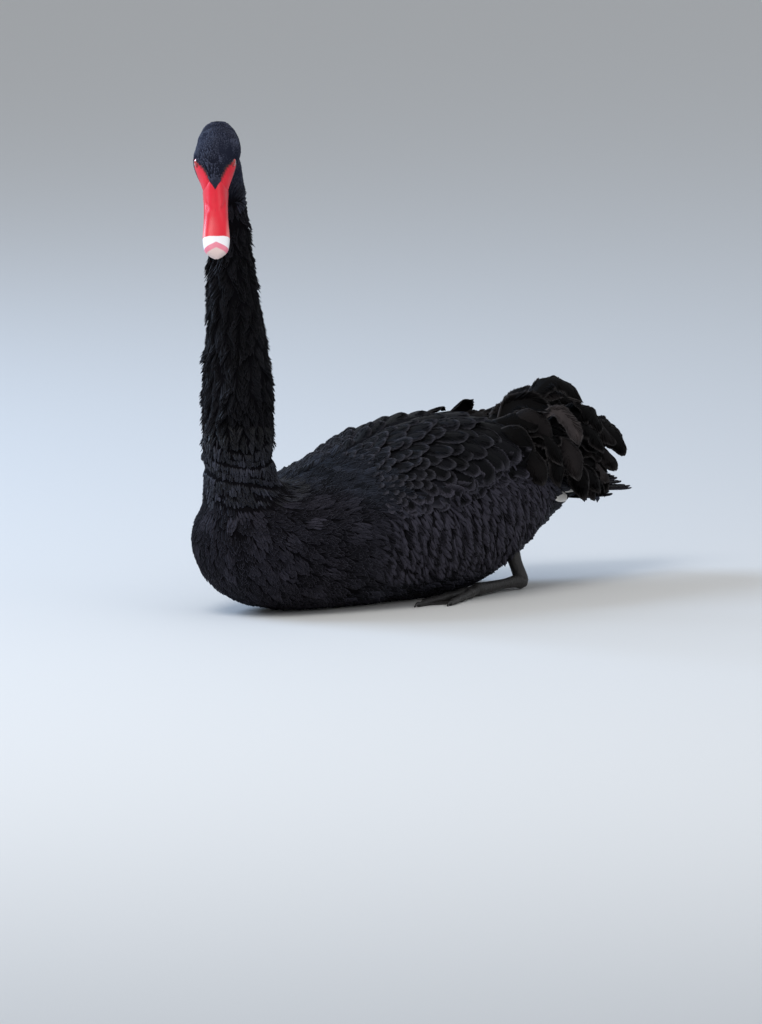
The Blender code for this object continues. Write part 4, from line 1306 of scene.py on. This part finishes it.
# The raised, curled inner feathers of the left wing: root, where it bends over, tip, width and paleness.
ARCS = (
    ((14, 352, 188), (25, 368, 195), (36, 392, 200), 29, 0.25),
    ((30, 355, 184), (36, 380, 203), (56, 408, 196), 30, 0.08),
    ((22, 372, 180), (30, 403, 214), (50, 432, 200), 30, 0.50),
    ((34, 380, 173), (42, 413, 224), (58, 445, 198), 30, 0.08),
    ((15, 390, 174), (24, 441, 210), (34, 476, 183), 29, 0.30),
    ((55, 397, 190), (69, 413, 189), (79, 425, 158), 22, 0.80),
    ((26, 408, 162), (35, 466, 190), (45, 489, 165), 29, 0.08),
    ((38, 415, 151), (46, 465, 174), (55, 485, 143), 27, 0.08),
    ((14, 425, 155), (20, 490, 174), (28, 520, 152), 28, 0.25),
    ((28, 435, 143), (32, 484, 156), (37, 506, 129), 31, 0.14),
    ((36, 440, 126), (45, 479, 136), (50, 499, 107), 27, 0.50),
    ((48, 428, 130), (58, 451, 130), (62, 468, 96), 25, 0.08),
    ((54, 410, 134), (67, 429, 136), (70, 441, 95), 27, 0.08),
    ((56, 395, 148), (74, 413, 154), (80, 423, 117), 29, 0.40),
    ((64, 375, 146), (82, 388, 150), (86, 395, 110), 27, 0.08),
    ((60, 362, 158), (77, 378, 168), (84, 388, 137), 29, 0.08),
    ((48, 350, 174), (64, 376, 188), (75, 389, 158), 30, 0.30),
    ((38, 336, 186), (50, 360, 193), (62, 385, 179), 30, 0.08),
    ((60, 326, 176), (74, 341, 173), (84, 353, 148), 30, 0.08),
    ((76, 340, 156), (87, 351, 149), (90, 361, 122), 29, 0.20),
    ((23, 447, 128), (30, 488, 120), (36, 500, 89), 25, 0.08),
    ((6, 400, 172), (10, 443, 204), (14, 487, 196), 29, 0.35),
    ((8, 430, 154), (12, 490, 167), (16, 528, 141), 27, 0.08),
    ((16, 436, 146), (20, 511, 164), (24, 534, 133), 28, 0.12),
    ((26, 442, 132), (31, 492, 146), (34, 508, 121), 29, 0.30),
    ((10, 440, 150), (13, 517, 169), (16, 541, 139), 28, 0.08),
    ((44, 426, 122), (52, 452, 126), (55, 470, 92), 26, 0.30),
    ((16, 366, 184), (22, 391, 211), (38, 416, 205), 28, 0.10),
    ((4, 440, 140), (6, 500, 150), (9, 528, 122), 30, 0.05),
    ((20, 396, 176), (28, 415, 205), (50, 436, 190), 36, 0.05),
    ((2, 446, 132), (3, 492, 140), (4, 520, 116), 34, 0.05),
    ((30, 448, 118), (36, 482, 122), (40, 500, 100), 28, 0.10),
)
ARC_FACING = (1.0, -0.45, 0.15)

# The right wing's lie lower, and two of its feathers stand up further forward.
RIGHT_DROP = 33.0
RIGHT_TIPS = (
    ((18, 262, 180), (27, 296, 199), (36, 320, 197), 25, 0.25),
    ((18, 304, 180), (26, 337, 200), (34, 362, 196), 29, 0.15),
)


def curl_spots(draw):
    """The low curled feathers."""
    rows = []
    for row, (back, count, lift, curl, length) in enumerate(CURL_ROWS):
        for k in range(count):
            share = min((k + 0.2 + 0.5 * (row % 2)) / count, 0.98)
            stand = lift * (1.0 - 0.4 * share**1.5) + draw.uniform(-10.0, 10.0)
            place = min(back + draw.uniform(-6.0, 6.0), WING_END)
            rows.append(row_on_wing(place, share * float(wing_edge(back)),
                                    0.3 * share + draw.uniform(-0.3, 0.3), length * draw.uniform(0.8, 1.1),
                                    CURL_WIDTH * draw.uniform(0.8, 1.15), stand,
                                    curl + draw.uniform(-20.0, 20.0), draw.uniform(-20.0, 20.0),
                                    draw.uniform(12.0, 30.0), draw.uniform(-30.0, 30.0),
                                    0.45 * draw.random() ** 2.5))
    return rows


def arc_feathers(side, draw, stations, widths):
    """The raised feathers as rows and frames, each along a curve through its three places."""
    table, extra = (np.array([(*root, *bend, *tip, width, pale) for root, bend, tip, width, pale in rows])
                    for rows in (ARCS, RIGHT_TIPS))
    if side < 0:
        table[:, (5, 8)] -= RIGHT_DROP * smoothstep(150.0, 200.0, table[:, 5:6])
        table = np.vstack([table, extra])
    flip = np.array((side, 1.0, 1.0))
    root, bend, tip = (table[:, k : k + 3] * flip for k in (0, 3, 6))
    count = len(table)
    bend = bend + draw.normal(0.0, 2.0, (count, 3))
    tip = tip + draw.normal(0.0, 3.0, (count, 3))
    pull = 2.0 * bend - (root + tip) / 2.0
    convex = unit(bend - (root + tip) / 2.0)
    outward = unit(0.75 * unit(np.array(ARC_FACING) * flip) + 0.65 * convex)
    length = np.linalg.norm(bend - root, axis=1) + np.linalg.norm(tip - bend, axis=1)
    roll, twist = draw.uniform(-14.0, 14.0, count), draw.uniform(-18.0, 18.0, count)
    frames = []
    for along, share in zip(stations, widths):
        centre = root * (1 - along) ** 2 + pull * 2 * along * (1 - along) + tip * along**2
        heading = unit(2 * (1 - along) * (pull - root) + 2 * along * (tip - pull))
        upright = unit(outward - heading * np.sum(outward * heading, -1, keepdims=True))
        lean = np.radians(roll + twist * along) * side
        across, facing = leaned(np.cross(heading, upright), upright, lean)
        frames.append((centre, heading, facing, across, 0.5 * table[:, 9] * share))
    camber = np.where(draw.random(count) < 0.3, -0.8, 1.0) * draw.uniform(16.0, 32.0, count)
    zero = np.zeros(count)
    place = (0.2 + 0.6 * draw.random(count), 0.6 + 0.3 * draw.random(count))
    tint = table[:, 10] * draw.uniform(0.9, 1.0, count)
    spots = np.column_stack([root, unit(pull - root), outward, length, table[:, 9], zero, zero, roll,
                             camber, twist, tint, *place])
    return spots, frames


PRIMARY_ROOT = (57.0, 403.0, 99.0)
PRIMARY_STEP = (-13.0, 3.0, 8.0)
PRIMARY_AIM = (-0.16, 1.0, -0.02)
PRIMARY_FACING = (1.0, 0.15, 0.5)
PRIMARY_WIDTH = 15.0
PRIMARY_LENGTHS = (28.0, 76.0, 82.0)


def primary_spots(draw):
    """The white flight feathers, folded under the curled ones."""
    rows = []
    for k, length in enumerate(PRIMARY_LENGTHS):
        root = np.array(PRIMARY_ROOT) + np.array(PRIMARY_STEP) * k
        rows.append((*root, *PRIMARY_AIM, *PRIMARY_FACING, length, PRIMARY_WIDTH, draw.uniform(-1.0, 1.0),
                     -4.0, 4.0, 12.0, 0.0, draw.random(), 0.1 + 0.15 * k, 0.95))
    return rows


def mirrored(rows, side):
    """The rows for one wing's feathers, from the left wing's: the right's are their reflection."""
    table = np.array(rows, float)
    if side < 0:
        for k in (0, 3, 6, 13, 15):
            table[:, k] *= -1.0
    return table


def barbed(name, spots, frames, material, stations, barbs, draw, ruffle=0.0):
    """A piece of separate barbs over large feathers."""
    rows, depths = barb_spots(spots, frames, stations, barbs, draw, ruffle)
    return tufts(name, rows, material, BARB_STATIONS, BARB_WIDTHS, BARB_THICKNESS, depths)


def make_wing(name, side, tree, finishes):
    """One wing's pieces; all its feathers share one random source, drawn from in this order."""
    draw = np.random.default_rng(40 + side)
    rows = mirrored(covert_spots(draw, side) + secondary_spots(draw), side)
    frames = draped_frames(tree, rows, COVERT_STATIONS, COVERT_SHAPE)
    finish = finishes["covert"]
    coverts = blades(name + "_coverts", rows, frames, finish, COVERT_STATIONS, COVERT_BLADE)
    fringe = barbed(name + "_covert_barbs", rows, frames, finish, COVERT_STATIONS, COVERT_BARBS, draw)
    low = mirrored(curl_spots(draw), side)
    tips = feather_frames(low, CURL_STATIONS, CURL_SHAPE)[-1][0]
    low[(tips[:, 2] < LOW_TIP) | (tips[:, 0] * side < INNER_TIP), LENGTH] *= 0.55
    frames = feather_frames(low, CURL_STATIONS, CURL_SHAPE)
    raised, raised_frames = arc_feathers(side, draw, CURL_STATIONS, CURL_SHAPE)
    curled = np.vstack([low, raised])
    frames = [tuple(np.concatenate(pair) for pair in zip(*both)) for both in zip(frames, raised_frames)]
    finish = finishes["curl"]
    curls = blades(name + "_curls", curled, frames, finish, CURL_STATIONS, CURL_BLADE, RUFFLE)
    wisps = barbed(name + "_curl_barbs", curled, frames, finish, CURL_STATIONS, CURL_BARBS, draw, RUFFLE)
    flight = mirrored(primary_spots(draw), side)
    frames = feather_frames(flight, LONG_STATIONS, LONG_SHAPE)
    primaries = blades(name + "_primaries", flight, frames, finishes["white"], LONG_STATIONS, LONG_BLADE)
    return [coverts, curls, primaries, fringe, wisps]


# Tail feathers in tiers: root's place, height, half spread, how many, length, width and lift.
TAIL_TIERS = (
    (450, 125, 24, 7, 48, 22, 4),
    (462, 121, 22, 7, 50, 22, -3),
    (474, 116, 24, 8, 50, 20, -4),
    (488, 106, 26, 14, 54, 16, -2),
    (474, 94, 20, 7, 46, 20, 2),
    (452, 95, 14, 5, 48, 20, -3),
)


def make_tail(finishes):
    draw = np.random.default_rng(5)
    rows = []
    for back, height, spread, count, length, width, lift in TAIL_TIERS:
        for k in range(count):
            share = 2.0 * (k + 0.5) / count - 1.0
            fan = math.radians(26.0 * share)
            root = (spread * share, back - 5.0 * share**2, height - 3.5 * abs(share) * count / 6.0)
            rows.append((*root, math.sin(fan), math.cos(fan), 0.0, 0.0, 0.0, 1.0,
                         length * draw.uniform(0.94, 1.05), width, lift, draw.uniform(-4.0, 4.0),
                         draw.uniform(-4.0, 4.0), 12.0, 0.0, draw.random(),
                         0.5 + 0.4 * share, 0.1 + 0.8 * (back - 450.0) / 50.0))
    rows = np.array(rows)
    frames = feather_frames(rows, LONG_STATIONS, LONG_SHAPE)
    finish = finishes["covert"]
    feathers = blades("tail_feathers", rows, frames, finish, LONG_STATIONS, LONG_BLADE)
    return feathers, barbed("tail_barbs", rows, frames, finish, LONG_STATIONS, TAIL_BARBS, draw)


# The bill and eyes


def bill_piece(name, rows, share, material, upper):
    """One half of the bill from rows of place, far height, mouth's line and half width."""
    rings = []
    turns = np.linspace(0.0, math.pi, BILL_SIDES)
    for forward, far, line, half_width in rows:
        power = np.interp(forward, *np.array(BILL_POWER).T) if upper else LOWER_BILL_POWER
        across = share * half_width * rounded(np.cos(turns), power)
        height = line + (far - line) * rounded(np.sin(turns), power)
        if upper:
            inward = np.exp(-((forward - NOSTRIL_PLACE[0]) / NOSTRIL_REACH[0]) ** 4)
            inward = inward * np.exp(-(((height - NOSTRIL_PLACE[1]) / NOSTRIL_REACH[1]) ** 4))
            across = across - np.sign(across) * NOSTRIL_DEPTH * inward
        rings.append(from_head(np.stack([np.full(BILL_SIDES, forward), across, height], -1)))
    return loft(name, rings, material)


def bill_material():
    made = new_material("bill", roughness=0.36, specular_ior_level=0.38, coat_weight=0.12, coat_roughness=0.3)
    forward, aside = attribute(made, "bill_forward"), attribute(made, "bill_aside")
    uneven = times(made, maths(made, "SUBTRACT", noise(made, 90.0), 0.5), 1.6)
    place = maths(made, "ADD", forward, uneven)
    upper_edge = maths(made, "ADD", place, times(made, aside, 0.04))
    lower_edge = maths(made, "ADD", place, times(made, aside, -0.42))
    white_on = beyond(made, upper_edge, 86.5, 1.2)
    pink_on = beyond(made, lower_edge, 93.0, 1.2)
    nail_on = beyond(made, lower_edge, 99.0, 0.8)
    red = mixed(made, noise(made, 38.0), (0.60, 0.005, 0.020), (0.84, 0.018, 0.042))
    pale_edge = times(made, beyond(made, aside, 10.2, 0.4), beyond(made, forward, 62.0, 0.05))
    red = mixed(made, times(made, pale_edge, 0.6), red, (0.86, 0.30, 0.28))
    colour = mixed(made, white_on, red, (0.86, 0.84, 0.86))
    colour = mixed(made, pink_on, colour, (0.78, 0.22, 0.30))
    colour = mixed(made, nail_on, colour, (0.72, 0.56, 0.53))
    base_colour(made, mixed(made, attribute(made, "feathered"), colour, (0.004, 0.004, 0.005)))
    grain = maths(made, "ADD", noise(made, 220.0), times(made, noise(made, 700.0), 0.4))
    bump(made, grain, 0.25, 0.0005)
    return made


def make_bill(material):
    rows = smooth_rows(BILL, BILL_STEPS)
    upper = bill_piece("bill_upper_horn", [(f, t, m + 0.1, w) for f, t, m, u, w in rows], 1.0, material, True)
    lower_rows = [(f, u, m - 0.4, w) for f, t, m, u, w in rows[:-BILL_STEPS]]
    lower = bill_piece("bill_lower_horn", lower_rows, LOWER_BILL_SHARE, material, False)
    for piece in (upper, lower):
        local = to_head(vertex_places(piece.data))
        paint(piece, "bill_forward", local[:, 0])
        paint(piece, "bill_aside", np.abs(local[:, 1]))
        half = np.interp(local[:, 0], *np.array(LORE_TOP).T)
        over = local[:, 2] > np.interp(local[:, 0], (14.0, 40.0), (0.0, -8.0))
        paint(piece, "feathered", smoothstep(-0.4, 0.4, half - np.abs(local[:, 1])) * over)
    return upper, lower


def eye_material():
    made = new_material("eye", roughness=0.08, coat_weight=1.0, coat_roughness=0.02, specular_ior_level=0.6)
    out = attribute(made, "from_axis")
    pupil = beyond(made, out, 2.3, 6.0)
    rim = beyond(made, out, 4.6, 1.2)
    iris = mixed(made, noise(made, 400.0), (0.30, 0.006, 0.004), (0.62, 0.03, 0.012))
    colour = mixed(made, pupil, (0.004, 0.004, 0.004), iris)
    base_colour(made, mixed(made, rim, colour, (0.05, 0.006, 0.006)))
    return made


def make_eye(name, side, material):
    turns = np.linspace(0.0, 2 * math.pi, 40, endpoint=False)
    rings, away = [], []
    for tilt in np.linspace(0.02, math.pi - 0.02, 26):
        reach = EYE_RADIUS * math.sin(tilt)
        local = np.stack([EYE_FORWARD + reach * np.cos(turns),
                          np.full(40, side * (EYE_SIDE + EYE_RADIUS * math.cos(tilt))),
                          EYE_HEIGHT + reach * np.sin(turns)], -1)
        rings.append(from_head(local))
        away += [reach if tilt < math.pi / 2 else EYE_RADIUS] * 40
    eye = loft(name, rings, material)
    paint(eye, "from_axis", away + [0.0, EYE_RADIUS])
    return eye


def make_lids(material):
    """The soft rims round both eyes, a little almond-shaped."""
    points, faces = [], []
    turns, sides = 56, 12
    for side in (-1, 1):
        first = len(points)
        for k in range(turns):
            a = 2 * math.pi * k / turns
            for m in range(sides):
                b = 2 * math.pi * m / sides
                thick = 1.15 + 0.25 * math.sin(3 * a)
                reach = EYE_RADIUS - 0.9 + thick * math.cos(b)
                out = 3.2 + 1.3 * thick * math.sin(b) - 0.5 * abs(math.cos(a))
                stretch = 1.10 if math.cos(a) > 0 else 1.04
                points.append(from_head((EYE_FORWARD + stretch * reach * math.cos(a),
                                         side * (EYE_SIDE + out - 0.3),
                                         EYE_HEIGHT + 0.80 * reach * math.sin(a))))
        for k in range(turns):
            for m in range(sides):
                n, following = (m + 1) % sides, (k + 1) % turns
                quad = (first + k * sides + m, first + k * sides + n,
                        first + following * sides + n, first + following * sides + m)
                faces.append(quad if side > 0 else quad[::-1])
    return new_object("lids", np.array(points), faces, material)


def down_material():
    """The near-black down between the feathers."""
    made = new_material("down", roughness=0.8, specular_ior_level=0.02)
    near_black = mixed(made, noise(made, 120.0), (0.0015, 0.0014, 0.0018), (0.005, 0.0045, 0.006))
    base_colour(made, mixed(made, attribute(made, "crown"), near_black, (0.014, 0.016, 0.028)))
    return made


def skin_material():
    made = new_material("skin", roughness=0.5, specular_ior_level=0.35)
    lore = attribute(made, "lore")
    red = mixed(made, noise(made, 60.0), (0.60, 0.006, 0.020), (0.84, 0.020, 0.042))
    black = mixed(made, noise(made, 120.0), (0.006, 0.006, 0.008), (0.016, 0.014, 0.014))
    base_colour(made, mixed(made, lore, black, red))
    bump(made, noise(made, 420.0), 0.4, 0.0006)
    return made


# Feet

ANKLE = (62.0, 352.0, 10.0)
TOE_ROOT = (76.0, 276.0, 8.0)
TOE_TIPS = ((80.0, 196.0), (99.0, 170.0), (117.0, 200.0))
SHIN_TOP = (50.0, 346.0, 50.0)
HIND_TOE = ((70.0, 292.0, 7.0), (60.0, 300.0, 6.0), (50.0, 303.0, 2.6))
TOE_JOINTS = (0.28, 0.58, 0.84)
CLAW_LENGTH = 9.0


def between(first, second, share):
    return np.array(first) + (np.array(second) - np.array(first)) * share


def foot_material():
    made = new_material("foot", roughness=0.5, specular_ior_level=0.35)
    base_colour(made, mixed(made, noise(made, 60.0), (0.010, 0.010, 0.010), (0.035, 0.032, 0.031)))
    cells = node(made, "ShaderNodeTexVoronoi", in_Scale=420.0)
    place = node(made, "ShaderNodeTexCoord")
    wire(made, place.outputs["Object"], cells.inputs["Vector"])
    bump(made, cells.outputs["Distance"], 0.7, 0.0007)
    return made


def tube(name, rows, sides, material):
    """A tube through places with radii, flattened where it would pass the floor."""
    rows = smooth_rows(rows, 5)
    rings = tube_rings(rows, sides, np.zeros(len(rows)))
    rings[..., 2] = np.maximum(rings[..., 2], 0.0)
    return loft(name, rings, material)


def web_sheet(name, first, second, material):
    """The web between two toes, drawn back in a curve between their tips."""
    across, along = 13, 17
    layers = []
    for level in (0.7, -0.5):
        for t in np.linspace(0.04, 0.93, along):
            for u in np.linspace(0.0, 1.0, across):
                a, b = (between(TOE_ROOT, tip, t) for tip in (first, second))
                point = a + (b - a) * u
                hollow = 4.0 * u * (1.0 - u)
                point[1] += 15.0 * t**3 * hollow
                fold = 0.35 * math.sin(19.0 * u) * t
                height = 3.4 - 1.3 * t - 1.6 * hollow * (0.3 + t) + level + fold
                point[2] = max(height, 0.05 if level < 0 else 0.7)
                layers.append(point)
    cells = across * along
    faces = []
    for i in range(along - 1):
        for j in range(across - 1):
            a = i * across + j
            faces.append((a, a + 1, a + across + 1, a + across))
            faces.append((cells + a, cells + a + across, cells + a + across + 1, cells + a + 1))
    edge = list(range(across)) + [i * across + across - 1 for i in range(1, along)]
    edge += [(along - 1) * across + j for j in range(across - 2, -1, -1)]
    edge += [i * across for i in range(along - 2, 0, -1)]
    for a, b in zip(edge, edge[1:] + edge[:1]):
        faces.append((a, cells + a, cells + b, b))
    return new_object(name, np.array(layers), faces, material)


def toe_rows(root, tip, radius):
    """A toe's places and radii: swollen at each joint and thinner between them."""
    rows = []
    for t in np.linspace(0.0, 1.0, 15):
        knuckle = sum(math.exp(-(((t - joint) / 0.055) ** 2)) for joint in TOE_JOINTS)
        reach = radius * (1.15 - 0.55 * t) * (0.86 + 0.22 * knuckle)
        point = between(root, tip, t)
        rows.append((*point[:2], max(point[2], reach * 0.85), reach))
    return rows


def make_foot(name, side, material, claw_material):
    """One webbed foot, folded under the body: shin, tarsus, three webbed toes, a hind toe and claws."""
    tips = [(x, y, 2.4) for x, y in TOE_TIPS]
    root = np.array(TOE_ROOT)
    leg = [(*SHIN_TOP, 11.0), (*between(ANKLE, SHIN_TOP, 0.5), 7.6), (*ANKLE, 8.2)]
    leg += [(*between(ANKLE, root, 0.12), 7.4)]
    leg += [(*between(ANKLE, root, t), 5.6 + 1.6 * t**3) for t in (0.35, 0.6, 0.85)]
    leg += [(*root, 7.4), (root[0] + 1.0, root[1] - 8.0, 6.0, 5.6)]
    parts = [tube("shank", leg, 22, material)]
    for tip in tips:
        parts.append(tube("toe", toe_rows(root, tip, 5.4), 16, material))
    parts.append(tube("hind_toe", [(*p, r) for p, r in zip(HIND_TOE, (3.6, 2.9, 2.2))], 12, material))
    parts += [web_sheet("web", tips[0], tips[1], material), web_sheet("web", tips[1], tips[2], material)]
    claws = []
    ends = [(tip, unit(np.array(tip) - root)) for tip in tips]
    ends.append((HIND_TOE[-1], unit(np.array(HIND_TOE[-1]) - np.array(HIND_TOE[-2]))))
    for tip, ahead in ends:
        flat = unit(ahead * (1.0, 1.0, 0.0))
        rows = []
        for t in np.linspace(0.0, 1.0, 7):
            reach = 2.5 * (1.0 - t) ** 0.7 + 0.25
            point = np.array(tip) + flat * (CLAW_LENGTH * t - 2.0)
            rows.append((*point[:2], max(3.0 + 1.0 * math.sin(math.pi * t) - 2.4 * t * t, reach), reach))
        claws.append(tube("claw", rows, 12, claw_material))
    made = []
    for label, group in ((name, parts), (name + "_claws", claws)):
        piece = joined(label, group)
        if side < 0:
            piece.data.transform(Matrix.Scale(-1.0, 4, (1.0, 0.0, 0.0)))
            piece.data.flip_normals()
        made.append(piece)
    return made


def make_finishes():
    """The plumage's materials by piece."""
    cool = ((0.0011, 0.0011, 0.0015), (0.017, 0.017, 0.021), (0.040, 0.038, 0.044))
    warm = ((0.0036, 0.0034, 0.0047), (0.048, 0.045, 0.060), (0.085, 0.080, 0.104))
    # The body's first set is full on the mantle and partly on rump and belly. It is lighter and bluer than
    # the black plumage: a painted bluish sheen of sky light on the back.
    mantle = ((0.0036, 0.0041, 0.0058), (0.038, 0.043, 0.060), (0.110, 0.120, 0.155))
    # Crown and face colours, lighter and bluer than the black plumage: a painted bluish sheen on the head.
    crown_sheen = ((0.0185, 0.0205, 0.0350), (0.076, 0.086, 0.135), (0.100, 0.114, 0.165))
    wing_cool = ((0.0013, 0.0013, 0.0018), (0.007, 0.007, 0.0095), (0.062, 0.060, 0.072))
    dusty = ((0.0012, 0.0012, 0.0013), (0.100, 0.084, 0.084), (0.062, 0.056, 0.056))
    white = ((0.50, 0.49, 0.47), (0.60, 0.59, 0.57), (0.70, 0.69, 0.67))
    body = feather_material("plumage", mantle, warm, 0.9, 0.60, 0.05, 0.3)
    neck = feather_material("neck_plumage", cool, warm, 0.6, 0.50, 0.05, 0.2)
    # The neck's foot: its own purplish grey, made lighter and bluer as a painted bluish sheen of sky light.
    base = ((0.0040, 0.0042, 0.0062), (0.056, 0.058, 0.082), (0.092, 0.096, 0.130))
    foot = feather_material("neck_foot_plumage", cool, base, 0.6, 0.46, 0.20, 0.2)
    head = feather_material("head_plumage", cool, crown_sheen, 0.5, 0.50, 0.08, 0.15)
    covert = feather_material("covert", wing_cool, warm, 6.5, 0.50, 0.05, 0.3)
    curl = feather_material("curl", dusty, dusty, 4.0, 0.55, 0.03, 0.3)
    white = feather_material("white_vanes", white, white, 3.0, 0.5, 0.3, 0.4)
    return {
        "head_coat": head,
        "neck_coat_upper": neck,
        "neck_coat_lower": foot,
        "breast_coat": body,
        "body_coat": body,
        "covert": covert,
        "curl": curl,
        "white": white,
    }


def main():
    make_camera()
    make_stage()
    finishes = make_finishes()
    skin = make_skin(skin_material())
    points, _, corners = skin_arrays(skin)
    tree = BVHTree.FromPolygons(points.tolist(), corners.tolist(), all_triangles=True)
    bare = lore_mask(points)
    paint(skin, "lore", bare)
    shares = zone_shares(points)
    paint(skin, "crown", shares[:, ZONE_ORDER.index("face")] + shares[:, ZONE_ORDER.index("crown")])
    skin.data.materials.append(down_material())
    for face in skin.data.polygons:
        face.material_index = int(bare[list(face.vertices)].max() < 0.02)
    coat = make_body_coat(skin, tree, finishes)
    left = make_wing("wing_left", 1, tree, finishes)
    right = make_wing("wing_right", -1, tree, finishes)
    tail = make_tail(finishes)
    upper, lower = make_bill(bill_material())
    eye_finish = eye_material()
    eyes = [make_eye("eye_left_ball", 1, eye_finish), make_eye("eye_right_ball", -1, eye_finish)]
    lids = make_lids(new_material("lid", base_color=(0.30, 0.02, 0.02), roughness=0.4))
    plumage = [skin, *coat, *left, *right, *tail]
    for piece in (*plumage, upper, lower, *eyes, lids):
        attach(piece, "root")
    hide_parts("torso", "head", "neck_upper", "neck_middle", "neck_lower")
    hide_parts("wing_left")
    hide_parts("wing_right")
    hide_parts("tail")
    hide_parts("bill_upper")
    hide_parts("bill_lower")
    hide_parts("eye_left")
    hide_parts("eye_right")
    leather = foot_material()
    horn = new_material("claw", base_color=(0.012, 0.011, 0.011), roughness=0.35)
    for name, side in (("foot_left", 1), ("foot_right", -1)):
        pieces = make_foot(name + "_skin", side, leather, horn)
        for piece in pieces:
            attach(piece, "root")
        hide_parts(name)


main()
